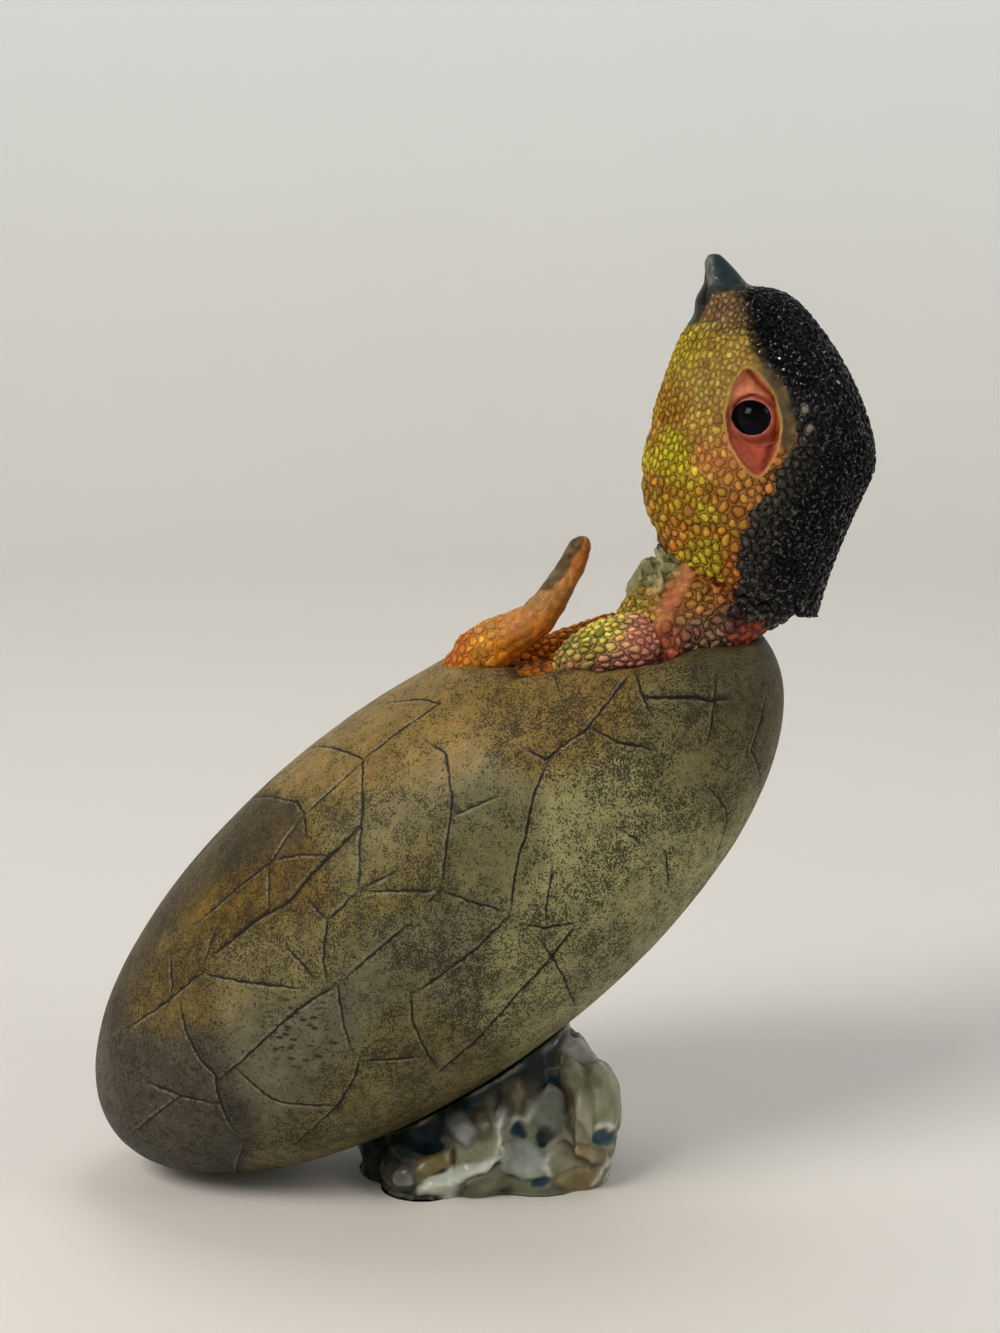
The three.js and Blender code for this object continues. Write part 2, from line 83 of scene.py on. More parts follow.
class Side(Enum):
    """The hatchling's sides, as the sign of Y."""

    LEFT = -1
    RIGHT = 1


# Arrays and meshes


def switch(mode: str) -> None:
    """Switches the active object to EDIT or OBJECT mode."""
    bpy.ops.object.mode_set(mode=mode)


def make_active(piece: Object) -> None:
    """Selects one object alone and makes it the active one.

    Args:
        piece: The object.
    """
    if bpy.context.mode != "OBJECT":
        switch("OBJECT")
    bpy.ops.object.select_all(action="DESELECT")
    piece.select_set(True)
    bpy.context.view_layer.objects.active = piece


def placed(name: str, data: bpy.types.ID) -> Object:
    """Adds an object to the scene.

    Args:
        name: The object's name.
        data: Its mesh, light or camera.

    Returns:
        The object.
    """
    item = bpy.data.objects.new(name, data)
    bpy.context.scene.collection.objects.link(item)
    return item


def cast_from(node: str, name: str, voxel: float) -> Object:
    """Casts a new piece from a CAD node's mesh, remeshed into even quads.

    Args:
        node: The CAD node.
        name: The new piece's name.
        voxel: The size of the quads in millimetres.

    Returns:
        The new object.
    """
    piece = placed(name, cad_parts[node].data.copy())
    piece.data.name = name
    piece.data.materials.clear()
    make_active(piece)
    switch("EDIT")
    bpy.ops.mesh.select_all(action="SELECT")
    bpy.ops.mesh.remove_doubles(threshold=WELD * MM)
    switch("OBJECT")
    piece.data.remesh_voxel_size = voxel * MM
    bpy.ops.object.voxel_remesh()
    return piece


def tree_of(points: Array) -> kdtree.KDTree:
    """Plants a search tree.

    Args:
        points: The points that it finds.

    Returns:
        The tree.
    """
    tree = kdtree.KDTree(len(points))
    for index, point in enumerate(points):
        tree.insert(point, index)
    tree.balance()
    return tree


def rising(values: Array, low: float, high: float) -> Array:
    """Eases values from 0 at low to 1 at high."""
    share = np.clip((values - low) / (high - low), 0.0, 1.0)
    return share * share * (3.0 - 2.0 * share)


def falling(values: Array, low: float, high: float) -> Array:
    """Eases values from 1 at low to 0 at high."""
    return rising(-values, -high, -low)


def bell(distance: Array, width: float) -> Array:
    """A bell curve that is 1 at no distance."""
    return np.exp(-((distance / width) ** 2))


def ridge(distance: Array, high: float, width: float) -> Array:
    """A bell curve with a height."""
    return high * bell(distance, width)


def mixed(first: Array | Colour, second: Array | Colour, share: Array) -> Array:
    """Mixes two colours, or rows of them, by the second one's share in each row."""
    return np.asarray(first) + (np.asarray(second) - np.asarray(first)) * share[:, None]


def to_spot(pixels: Array, spot: Pixel) -> Array:
    """The distance of each pixel from a spot."""
    return np.hypot(*(pixels - np.array(spot)).T)


def to_line(pixels: Array, line: Line) -> Array:
    """Measures how far pixels lie from a line.

    Args:
        pixels: The pixels.
        line: The corners of the line's straight stretches.

    Returns:
        The distance of each pixel.
    """
    nearest = np.full(len(pixels), np.inf)
    for start, stop in zip(line[:-1], line[1:]):
        origin = np.array(start)
        run = np.array(stop) - origin
        share = np.clip((pixels - origin) @ run / (run @ run), 0.0, 1.0)
        gap = pixels - origin - share[:, None] * run
        nearest = np.minimum(nearest, np.hypot(gap[:, 0], gap[:, 1]))
    return nearest


def to_lines(pixels: Array, lines: tuple[Line, ...]) -> Array:
    """The distance of each pixel from the nearest of several lines."""
    return np.min([to_line(pixels, line) for line in lines], axis=0)


def inside(pixels: Array, outline: Line) -> Array:
    """Finds the pixels inside a closed outline.

    Args:
        pixels: The pixels.
        outline: The outline's corners.

    Returns:
        Whether each pixel lies inside.
    """
    odd = np.zeros(len(pixels), bool)
    for (x0, y0), (x1, y1) in zip(outline, outline[1:] + outline[:1]):
        if y0 != y1:
            crosses = (pixels[:, 1] < y0) != (pixels[:, 1] < y1)
            reach = x0 + (pixels[:, 1] - y0) * (x1 - x0) / (y1 - y0)
            odd ^= crosses & (pixels[:, 0] < reach)
    return odd


def within(pixels: Array, outline: Line) -> Array:
    """How far each pixel lies inside a closed outline, negative outside."""
    gap = to_line(pixels, outline + outline[:1])
    return np.where(inside(pixels, outline), gap, -gap)


def waves(points: Array, high: float, size: float, octaves: int = 2) -> Array:
    """Smooth noise at points, with its waves' height and the largest ones' size."""
    scaled = (points / size).tolist()
    return high * np.array([noise.fractal(spot, 1.0, 2.0, octaves) for spot in scaled])


def patches(points: Array, even: float, high: float, size: float, octaves: int = 2) -> Array:
    """Shares from 0 to 1 that waves make uneven."""
    return np.clip(even + waves(points, high, size, octaves), 0.0, 1.0)


def rows_of(source: bpy.types.bpy_prop_collection, name: str) -> Array:
    """Reads a vector of each element of a mesh.

    Args:
        source: The elements.
        name: The vector's name.

    Returns:
        One row for each element.
    """
    flat = np.empty(len(source) * 3, np.float32)
    source.foreach_get(name, flat)
    return flat.reshape(-1, 3).astype(float)


class Surface:
    """The mesh of a piece as arrays in millimetres, for sculpting and painting."""

    def __init__(self, piece: Object) -> None:
        """Reads the mesh of a piece."""
        self.piece = piece
        self.read()

    def read(self) -> None:
        """Reads points, normals and edges from the mesh."""
        mesh = self.piece.data
        self.points = rows_of(mesh.vertices, "co") / MM
        self.normals = rows_of(mesh.vertex_normals, "vector")
        ends = np.empty(len(mesh.edges) * 2, np.int32)
        mesh.edges.foreach_get("vertices", ends)
        self.edges = ends.reshape(-1, 2)

    def write(self) -> None:
        """Writes the points back to the mesh and reads the new normals."""
        mesh = self.piece.data
        mesh.vertices.foreach_set("co", (self.points * MM).astype(np.float32).ravel())
        mesh.update()
        self.read()

    def around(self, values: Array) -> Array:
        """Takes the mean of each vertex's neighbours.

        Args:
            values: A row for each vertex.

        Returns:
            A row of means for each vertex.
        """
        first, second = self.edges.T
        count = len(values)
        degree = np.bincount(first, minlength=count) + np.bincount(second, minlength=count)
        sums = [
            np.bincount(first, column[second], count) + np.bincount(second, column[first], count)
            for column in values.T
        ]
        return np.column_stack(sums) / np.maximum(degree, 1)[:, None]

    def relax(self, rounds: int, weight: Array | float = 1.0, shrink: bool = False) -> None:
        """Smooths the points.

        Args:
            rounds: How many times.
            weight: How far each vertex takes part, from 0 to 1.
            shrink: Whether the shape may shrink, or else is let out again each round.
        """
        weights = np.broadcast_to(np.asarray(weight, float), len(self.points))[:, None]
        for _ in range(rounds):
            for pull in PULLS[:1] if shrink else PULLS:
                self.points = self.points + pull * weights * (self.around(self.points) - self.points)

    def push(self, amount: Array) -> None:
        """Moves each vertex along its normal by millimetres."""
        self.points = self.points + self.normals * amount[:, None]

    def finer(self) -> None:
        """Subdivides the piece once, smoothly, and reads it again."""
        make_active(self.piece)
        bpy.ops.object.modifier_add(type="SUBSURF")
        modifier = self.piece.modifiers[-1]
        modifier.levels = modifier.render_levels = 1
        bpy.ops.object.modifier_apply(modifier=modifier.name)
        self.read()

    def store(self, **layers: Array) -> None:
        """Keeps values or colours of the vertices as attributes of the mesh.

        Args:
            layers: Values, or rows of red, green and blue, by the attribute's name.
        """
        for name, values in layers.items():
            plain = values.ndim == 1
            kind, key = ("FLOAT", "value") if plain else ("FLOAT_COLOR", "color")
            rows = values if plain else np.column_stack((values, np.ones(len(values))))
            layer = self.piece.data.attributes.new(name, kind, "POINT")
            layer.data.foreach_set(key, rows.astype(np.float32).ravel())


# Camera and stage


@dataclass(frozen=True)
class PhotoCamera:
    """The camera of the photograph, whose frame is 1000 by 1333 pixels, in millimetres."""

    wide: float = 1000.0
    high: float = 1333.0
    focal: float = 2600.0
    pitch: float = math.radians(12.3)
    place: Triple = (1.88, -457.0, 195.83)
    sensor: float = 36.0
    clip_from: float = 10.0

    def axes(self) -> tuple[Array, Array]:
        """The unit vectors along which the camera looks and stands upright."""
        sine, cosine = math.sin(self.pitch), math.cos(self.pitch)
        return np.array((0.0, cosine, -sine)), np.array((0.0, sine, cosine))

    def pixels(self, points: Array) -> Array:
        """Finds points in the photograph, with the far side mirrored to the near side.

        Args:
            points: The points.

        Returns:
            The pixel of each point.
        """
        look, upright = self.axes()
        near = np.column_stack((points[:, 0], -np.abs(points[:, 1]), points[:, 2]))
        offset = near - np.array(self.place)
        scale = self.focal / (offset @ look)
        right = self.wide / 2 + offset[:, 0] * scale
        return np.column_stack((right, self.high / 2 - (offset @ upright) * scale))

    def rays(self, pixels: Array) -> Array:
        """Points the camera's rays.

        Args:
            pixels: The pixels that they go through.

        Returns:
            The direction of each ray.
        """
        look, upright = self.axes()
        right, down = ((pixels - np.array((self.wide / 2, self.high / 2))) / self.focal).T
        return look + right[:, None] * np.array((1.0, 0.0, 0.0)) - down[:, None] * upright

    def build(self) -> None:
        """Creates the camera and makes it the scene's camera."""
        lens = bpy.data.cameras.new("photo_camera")
        lens.sensor_width = self.sensor
        lens.lens = self.sensor * self.focal / self.high
        lens.clip_start = self.clip_from * MM
        lens.dof.use_dof = False
        camera = placed("photo_camera", lens)
        camera.location = [value * MM for value in self.place]
        camera.rotation_euler = (math.pi / 2 - self.pitch, 0.0, 0.0)
        bpy.context.scene.camera = camera


PHOTO = PhotoCamera()


@dataclass(frozen=True)
class Lamp:
    """A soft square light: place and aim in metres, width in metres, power in watts."""

    name: str
    place: Triple
    aim: Triple
    width: float
    power: float
    colour: Colour

    def build(self) -> None:
        """Creates the light, turned to its aim."""
        light = bpy.data.lights.new(self.name, "AREA")
        light.size = self.width
        light.energy = self.power
        light.color = self.colour
        lamp = placed(self.name, light)
        lamp.location = self.place
        lamp.rotation_euler = (Vector(self.aim) - Vector(self.place)).to_track_quat("-Z", "Y").to_euler()


@dataclass
class Studio:
    """A pale floor that sweeps up into a backdrop, with soft lights, in metres."""

    floor_middle: Triple = (0.0, -0.3, 0.0)
    floor_radius: float = 1.3
    floor_sides: int = 96
    wall_high: float = 1.8
    sweep: float = 0.35
    sweep_steps: int = 12
    paint: Colour = (0.82, 0.775, 0.73)
    wall_paint: Colour = (0.89, 0.94, 0.94)
    scuff: Colour = (0.5, 0.5, 0.5)
    scuff_share: float = 0.03
    scuff_form: Span = (6.0, 3.0)
    paint_rise: float = 0.4
    paint_rough: float = 0.6
    air: Colour = (0.93, 0.96, 1.0)
    air_strength: float = 0.08
    contrast: float = 0.87
    lamps: tuple[Lamp, ...] = (
        Lamp("key_light", (-0.7, -0.65, 0.95), (0.0, 0.0, 0.07), 0.55, 10.6, (1.0, 0.97, 0.93)),
        Lamp("fill_light", (0.85, -0.4, 0.75), (0.0, 0.0, 0.09), 0.35, 1.7, (0.96, 0.98, 1.0)),
        Lamp("top_light", (0.1, 0.3, 1.1), (0.0, 0.0, 0.08), 0.5, 2.3, (0.97, 0.98, 1.0)),
    )

    def build(self) -> None:
        """Makes the floor with its backdrop all round, the lights and the air."""
        bpy.ops.object.select_all(action="DESELECT")
        bpy.ops.mesh.primitive_circle_add(
            vertices=self.floor_sides, radius=self.floor_radius, fill_type="NGON", location=self.floor_middle,
        )
        floor = bpy.context.object
        floor.name = "studio_floor"
        bpy.ops.object.transform_apply(location=True, rotation=False, scale=False)
        switch("EDIT")
        bpy.ops.mesh.select_mode(type="EDGE")
        bpy.ops.mesh.select_all(action="SELECT")
        bpy.ops.mesh.extrude_edges_move(TRANSFORM_OT_translate={"value": (0.0, 0.0, self.wall_high)})
        switch("OBJECT")
        for edge in floor.data.edges:
            edge.select = all(floor.data.vertices[i].co.z < MM for i in edge.vertices)
        switch("EDIT")
        bpy.ops.mesh.bevel(offset=self.sweep, segments=self.sweep_steps, affect="EDGES")
        bpy.ops.mesh.select_all(action="SELECT")
        bpy.ops.mesh.normals_make_consistent(inside=True)
        switch("OBJECT")
        bpy.ops.object.shade_smooth()
        floor.data.materials.append(self.paper())
        for lamp in self.lamps:
            lamp.build()
        world = bpy.data.worlds.new("studio_air")
        world.use_nodes = True
        background = world.node_tree.nodes["Background"]
        background.inputs["Color"].default_value = (*self.air, 1.0)
        background.inputs["Strength"].default_value = self.air_strength
        bpy.context.scene.world = world
        bpy.context.scene.view_settings.view_transform = "Standard"
        bpy.context.scene.view_settings.gamma = self.contrast
        LOG.info("studio floor, %d lamps", len(self.lamps))

    def paper(self) -> Material:
        """The floor's plain pale paint.

        Returns:
            The material.
        """
        shop = Workshop("studio_paper")
        height = shop.add("SeparateXYZ", {0: shop.place}).outputs["Z"]
        tint = shop.mix(shop.between(height, 0.0, self.paint_rise), self.paint, self.wall_paint)
        scuffed = shop.between(shop.noise(*self.scuff_form), *NOISE_SPAN, 0.0, self.scuff_share)
        shop.feed({"Base Color": shop.mix(scuffed, tint, self.scuff), "Roughness": self.paint_rough})
        return shop.material


# Materials


class NodeBench:
    """A node tree under construction, with object coordinates for its textures."""

    def __init__(self, tree: bpy.types.NodeTree) -> None:
        """Takes up a tree."""
        self.tree = tree
        self.place = self.add("TexCoord").outputs["Object"]

    def give(self, target: Socket, value: Input) -> None:
        """Gives an input another node's output, a plain colour or a plain number.

        Args:
            target: The input's socket.
            value: What it is given.
        """
        if isinstance(value, Socket):
            self.tree.links.new(value, target)
        elif isinstance(value, tuple):
            target.default_value = (*value, 1.0)
        else:
            target.default_value = value

    def add(self, kind: str, inputs: dict[str | int, Input] | None = None, **settings: object) -> Node:
        """Adds a shader node.

        Args:
            kind: The node's type, without the words that all types start with.
            inputs: What its inputs are given, by name or number.
            settings: The node's properties by name.

        Returns:
            The node.
        """
        node = self.tree.nodes.new("ShaderNode" + kind)
        for name, value in settings.items():
            setattr(node, name, value)
        for name, value in (inputs or {}).items():
            self.give(node.inputs[name], value)
        return node

    def noise(self, scale: Socket | float, detail: float = 2.0, roughness: float = 0.5) -> Socket:
        """A noise texture on object coordinates, with its scale per metre."""
        inputs = {"Vector": self.place, "Scale": scale, "Detail": detail, "Roughness": roughness}
        return self.add("TexNoise", inputs).outputs["Fac"]

    def sum(self, kind: str, *values: Socket | float) -> Socket:
        """One of Blender's math operations on sockets or numbers."""
        return self.add("Math", dict(enumerate(values)), operation=kind).outputs[0]

    def times(self, first: Socket, second: Socket | float) -> Socket:
        """The product of two values."""
        return self.sum("MULTIPLY", first, second)

    def between(self, source: Socket, low: float, high: float,
                to_low: float = 0.0, to_high: float = 1.0) -> Socket:
        """A clamped map of a value's range to another."""
        inputs = {"Value": source, "From Min": low, "From Max": high, "To Min": to_low, "To Max": to_high}
        return self.add("MapRange", inputs).outputs["Result"]

    def mix(self, share: Socket, first: Socket | Colour, second: Socket | Colour) -> Socket:
        """Mixes two colours by the second one's share."""
        return self.add("Mix", {0: share, 6: first, 7: second}, data_type="RGBA").outputs[2]

    def ramp(self, source: Socket, stops: tuple[tuple[float, Colour], ...]) -> Socket:
        """A colour ramp.

        Args:
            source: The value that is looked up.
            stops: The ramp's places and their colours.

        Returns:
            The colour's socket.
        """
        node = self.add("ValToRGB", {"Fac": source})
        elements = node.color_ramp.elements
        while len(elements) < len(stops):
            elements.new(1.0)
        for element, (place, colour) in zip(elements, stops):
            element.position = place
            element.color = (*colour, 1.0)
        return node.outputs["Color"]


# The range that Blender's noise mostly keeps to, and how much finer the grain is than the mottling
NOISE_SPAN: Span = (0.3, 0.7)
FINER = 4.0


def brushwork_group() -> bpy.types.NodeTree:
    """The shared uneven brushwork of hand-laid paint: a mottled colour and a fine grain height.

    Returns:
        The node group, with inputs Paint, Grain and Depth.
    """
    tree = bpy.data.node_groups.new("brushwork", "ShaderNodeTree")
    sockets = (
        ("Paint", "INPUT", "Color"), ("Grain", "INPUT", "Float"), ("Depth", "INPUT", "Float"),
        ("Color", "OUTPUT", "Color"), ("Height", "OUTPUT", "Float"),
    )
    for name, way, kind in sockets:
        tree.interface.new_socket(name, in_out=way, socket_type="NodeSocket" + kind)
    bench = NodeBench(tree)
    given = tree.nodes.new("NodeGroupInput").outputs
    result = tree.nodes.new("NodeGroupOutput").inputs
    mottle = bench.between(bench.noise(given["Grain"], 4.0), *NOISE_SPAN, -1.0, 1.0)
    value = bench.sum("MULTIPLY_ADD", mottle, given["Depth"], 1.0)
    blend = bench.add("HueSaturation", {"Color": given["Paint"], "Value": value})
    bench.give(result["Color"], blend.outputs["Color"])
    bench.give(result["Height"], bench.noise(bench.times(given["Grain"], FINER)))
    return tree


BRUSHWORK = brushwork_group()


class Workshop(NodeBench):
    """A node material under construction, with its Principled shader."""

    def __init__(self, name: str) -> None:
        """Starts an empty material.

        Args:
            name: The material's name.
        """
        self.material = bpy.data.materials.new(name)
        self.material.use_nodes = True
        self.material.node_tree.nodes.clear()
        super().__init__(self.material.node_tree)
        self.skin = self.add("BsdfPrincipled")
        self.add("OutputMaterial", {"Surface": self.skin.outputs["BSDF"]})

    def feed(self, inputs: dict[str, Input]) -> None:
        """Gives the shader its inputs by name."""
        for name, value in inputs.items():
            self.give(self.skin.inputs[name], value)

    def read(self, kind: str, *names: str) -> list[Socket]:
        """The piece's own attributes of these names, as a Color or as a number, Fac."""
        return [self.add("Attribute", attribute_name=name).outputs[kind] for name in names]

    def bump(self, height: Socket, distance: float, strength: float) -> None:
        """Feeds a height to the shader's normal, with the bump's distance in millimetres."""
        node = self.add("Bump", {"Height": height, "Distance": distance * MM, "Strength": strength})
        self.feed({"Normal": node.outputs["Normal"]})

    def brushed(self, paint: Socket, grain: float, depth: float) -> tuple[Socket, Socket]:
        """The colour and the height of paint laid by the shared brushwork."""
        node = self.add("Group", {"Paint": paint, "Grain": grain, "Depth": depth}, node_tree=BRUSHWORK)
        return node.outputs["Color"], node.outputs["Height"]


@dataclass(frozen=True)
class Finish:
    """A finish of the figurine, which becomes a node material of its name."""

    name: str

    def material(self) -> Material:
        """Builds the node material.

        Returns:
            The material.
        """
        shop = Workshop(self.name)
        self.lay(shop)
        return shop.material

    def lay(self, shop: Workshop) -> None:
        """Lays the finish in the nodes of a new material."""
        raise NotImplementedError


# A scale's height and tint from its middle to its border with the next
SCALE_PROFILE = ((0.0, 1.0), (0.3, 0.94), (0.5, 0.7), (0.66, 0.0), (0.78, 0.25), (1.0, 0.5))
SCALE_TINT = ((0.0, 1.0), (0.36, 0.96), (0.55, 0.7), (0.68, 0.0), (0.82, 0.5), (1.0, 0.72))


@dataclass(frozen=True)
class SkinPaint(Finish):
    """Hand-painted resin skin: satin scales with a dark wash in the creases between them."""

    name: str = "skin_paint"
    grain: float = 900.0
    grain_depth: float = 0.22
    grain_high: float = 0.35
    relief: Span = (0.2, 0.85)
    rough: Span = (0.52, 0.22)
    sheen: float = 0.11
    glaze: float = 0.13
    coat: float = 1.9
    speck: float = 1500.0
    speck_span: Span = (0.56, 0.66)
    glossy: Span = (0.4, 1.0)

    def lay(self, shop: Workshop) -> None:
        """Lays the scales, their creases and the glints on glossy ones.

        Args:
            shop: The material under construction.
        """
        paint, crease = shop.read("Color", "paint", "crease")
        ratio, bare, gloss = shop.read("Fac", "ratio", "bare", "gloss")
        profile, tint = (
            shop.ramp(ratio, tuple((place, (high,) * 3) for place, high in stops))
            for stops in (SCALE_PROFILE, SCALE_TINT)
        )
        shown = shop.mix(bare, shop.mix(tint, crease, paint), paint)
        colour, grain = shop.brushed(shown, self.grain, self.grain_depth)
        scaled = shop.times(profile, shop.between(bare, 0.0, 1.0, 1.0, 0.0))
        shop.bump(shop.sum("ADD", scaled, shop.times(grain, self.grain_high)), *self.relief)
        glints = shop.between(shop.noise(self.speck), *self.speck_span)
        shop.feed({
            "Base Color": colour,
            "Roughness": shop.between(gloss, 0.0, 1.0, *self.rough),
            "Specular IOR Level": self.sheen,
            "Coat Weight": shop.times(glints, shop.between(gloss, *self.glossy)),
            "Coat Roughness": self.glaze,
            "Coat IOR": self.coat,
        })


@dataclass(frozen=True)
class ShellPaint(Finish):
    """The egg's stained shell: dry tones under brown blotches and pores, with fine dark cracks and a painted
    highlight along one lip of each.
    """

    name: str = "shell_paint"
    crack: Colour = (0.014, 0.01, 0.006)
    # Pale of the scuffs, and of the painted highlight along one lip of each crack
    lip: Colour = (0.34, 0.31, 0.2)
    pore: Colour = (0.02, 0.015, 0.009)
    brush: Span = (260.0, 0.22)
    broad: Triple = (95.0, 2.0, 0.5)
    blotch: Triple = (560.0, 5.0, 0.7)
    grain: Triple = (3000.0, 2.0, 0.6)
    fleck: Triple = (1500.0, 3.0, 0.6)
    speck: Triple = (1900.0, 2.0, 0.55)
    heaped: Quad = (0.34, 0.6, 0.95, 0.05)
    stained: Span = (1.04, 1.13)
    stain_share: float = 0.88
    scuffed: Quad = (0.42, 0.52, 0.0, 0.24)
    scuff_kept: float = 0.35
    dotted: Span = (0.635, 0.68)
    dot_share: float = 0.85
    dot_deep: float = 0.6
    blotch_high: float = 1.4
    stroke: float = 960.0
    stroke_turn: float = math.radians(-12.0)
    stroke_drawn: Triple = (0.42, 0.8, 1.0)
    stroke_span: Quad = (0.26, 0.34, 1.0, 0.0)
    stroke_share: float = 0.9
    stroke_ragged: float = 0.12
    crack_half: Span = (0.05, 0.26)
    crack_soft: float = 0.11
    lip_highlight_rise: Span = (0.15, 0.4)
    lip_highlight_fall: Quad = (0.45, 0.75, 1.0, 0.0)
    lip_highlight_broken: Span = (0.42, 0.54)
    lip_highlight_share: float = 0.7
    rough: Span = (0.45, 0.6)
    sheen: float = 0.3
    relief: Span = (0.11, 0.7)

    def lay(self, shop: Workshop) -> None:
        """Lays the stain, scuffs, pores and strokes, and the cracks with a painted highlight along one lip.

        Args:
            shop: The material under construction.
        """
        tone, stain = shop.read("Color", "paint", "stain")
        dirt, dash, offset, crack = shop.read("Fac", "dirt", "dash", "offset", "crack")
        colour, _ = shop.brushed(tone, *self.brush)
        forms = (self.broad, self.blotch, self.grain, self.fleck, self.speck)
        broad, blotch, grain, fleck, speck = (shop.noise(*form) for form in forms)
        heap = dirt
        for layer, share in zip((broad, blotch, grain, crack), self.heaped):
            heap = shop.sum("ADD", heap, shop.times(layer, share))
        blotted = shop.between(heap, *self.stained)
        colour = shop.mix(shop.times(blotted, self.stain_share), colour, stain)
        scuff = shop.sum("SUBTRACT", fleck, shop.times(broad, self.scuff_kept))
        colour = shop.mix(shop.between(scuff, *self.scuffed), colour, self.lip)
        dots = shop.between(speck, *self.dotted)
        colour = shop.mix(shop.times(dots, self.dot_share), colour, self.pore)
        drawn = shop.add("Mapping", {"Vector": shop.place})
        drawn.inputs["Rotation"].default_value = (0.0, self.stroke_turn, 0.0)
        drawn.inputs["Scale"].default_value = self.stroke_drawn
        stroke = shop.add("TexVoronoi", {"Vector": drawn.outputs["Vector"], "Scale": self.stroke})
        uneven = shop.between(grain, *NOISE_SPAN, -self.stroke_ragged, self.stroke_ragged)
        ragged = shop.sum("ADD", stroke.outputs["Distance"], uneven)
        struck = shop.times(shop.between(ragged, *self.stroke_span), dash)
        colour = shop.mix(shop.times(struck, self.stroke_share), colour, self.pore)
        half = shop.between(blotch, *NOISE_SPAN, *self.crack_half)
        apart = shop.sum("ABSOLUTE", offset)
        beyond = shop.between(shop.sum("SUBTRACT", apart, half), 0.0, self.crack_soft, 1.0, 0.0)
        # Painted highlight: a broken pale line along one side of each crack
        rise = shop.between(offset, *self.lip_highlight_rise)
        edge = shop.times(rise, shop.between(offset, *self.lip_highlight_fall))
        pale = shop.times(shop.times(edge, crack), shop.between(speck, *self.lip_highlight_broken))
        colour = shop.mix(shop.times(pale, self.lip_highlight_share), colour, self.lip)
        colour = shop.mix(shop.times(beyond, crack), colour, self.crack)
        cut = shop.times(shop.sum("LESS_THAN", apart, half), crack)
        pitted = shop.sum("ADD", shop.times(dots, self.dot_deep), cut)
        shop.bump(shop.sum("SUBTRACT", shop.times(blotch, self.blotch_high), pitted), *self.relief)
        shop.feed({
            "Base Color": colour,
            "Roughness": shop.between(blotted, 0.0, 1.0, *self.rough),
            "Specular IOR Level": self.sheen,
        })


@dataclass(frozen=True)
class RockPaint(Finish):
    """The rock's washed stone: its dabbed colours, pale along the ridges and blue-black in the clefts."""

    name: str = "rock_paint"
    ridge: Colour = (0.56, 0.55, 0.44)
    cleft: Colour = (0.008, 0.018, 0.022)
    brush: Span = (330.0, 0.22)
    cloud: float = 260.0
    clouded: float = 0.12
    sunk: Quad = (-0.05, 0.2, 0.85, 0.0)
    risen: Quad = (0.6, 0.95, 0.0, 0.45)
    wet: Quad = (0.42, 0.7, 0.0, 0.6)
    rough: Span = (0.32, 0.48)
    sheen: float = 0.2
    glaze: float = 0.16
    relief: Span = (0.1, 0.5)

    def lay(self, shop: Workshop) -> None:
        """Lays the stone's colours, darker where it is sunk and paler and wet where it is proud.

        Args:
            shop: The material under construction.
        """
        (paint,) = shop.read("Color", "paint")
        (proud,) = shop.read("Fac", "proud")
        cloud = shop.noise(self.cloud, 4.0)
        shifted = shop.sum("ADD", proud, shop.between(cloud, *NOISE_SPAN, -self.clouded, self.clouded))
        colour, grain = shop.brushed(paint, *self.brush)
        colour = shop.mix(shop.between(shifted, *self.sunk), colour, self.cleft)
        colour = shop.mix(shop.between(shifted, *self.risen), colour, self.ridge)
        shop.bump(grain, *self.relief)
        shop.feed({
            "Base Color": colour,
            "Roughness": shop.between(cloud, *NOISE_SPAN, *self.rough),
            "Specular IOR Level": self.sheen,
            "Coat Weight": shop.between(shifted, *self.wet),
            "Coat Roughness": self.glaze,
        })


@dataclass(frozen=True)
class BeadGlass(Finish):
    """The eye beads' black glass, a little brown towards the lid."""

    name: str = "bead_glass"
    middle: Colour = (0.002, 0.002, 0.003)
    edge: Colour = (0.01, 0.006, 0.004)
    turns: Span = (0.45, 0.85)
    cloud: float = 900.0
    clouded: float = 0.1
    rough: float = 0.09
    sheen: float = 0.11

    def lay(self, shop: Workshop) -> None:
        """Lays the black with its brown edge.

        Args:
            shop: The material under construction.
        """
        (ring,) = shop.read("Fac", "ring")
        cloud = shop.between(shop.noise(self.cloud), *NOISE_SPAN, -self.clouded, self.clouded)
        tones = shop.ramp(shop.sum("ADD", ring, cloud), tuple(zip(self.turns, (self.middle, self.edge))))
        shop.feed({"Base Color": tones, "Roughness": self.rough, "Specular IOR Level": self.sheen})


@dataclass(frozen=True)
class PinSteel(Finish):
    """The dowels' drawn steel."""

    name: str = "pin_steel"
    metallic: float = 1.0
    bright: Colour = (0.48, 0.5, 0.51)
    dull: Colour = (0.36, 0.37, 0.38)
    drawn: float = 800.0
    turns: Span = (0.35, 0.65)
    rough: Span = (0.28, 0.42)

    def lay(self, shop: Workshop) -> None:
        """Lays the bright and dull metal.

        Args:
            shop: The material under construction.
        """
        drawn = shop.noise(self.drawn, 3.0)
        tones = shop.ramp(drawn, tuple(zip(self.turns, (self.dull, self.bright))))
        rough = shop.between(drawn, *NOISE_SPAN, *self.rough)
        shop.feed({"Base Color": tones, "Metallic": self.metallic, "Roughness": rough})


# Paint and scales


@dataclass(frozen=True)
class Dab:
    """A named dab of paint: its middle and spread in photograph pixels, its colours on the scales and in
    the creases, and the spacing and depth of the scales there in millimetres."""

    name: str
    at: Pixel
    reach: float
    top: Colour
    crease: Colour
    spacing: float = 1.5
    depth: float = 0.25


@dataclass
class Painting:
    """What a set of dabs gives at each place."""

    top: Array
    crease: Array
    spacing: Array
    depth: Array
    joined: Array
    gloss: Array


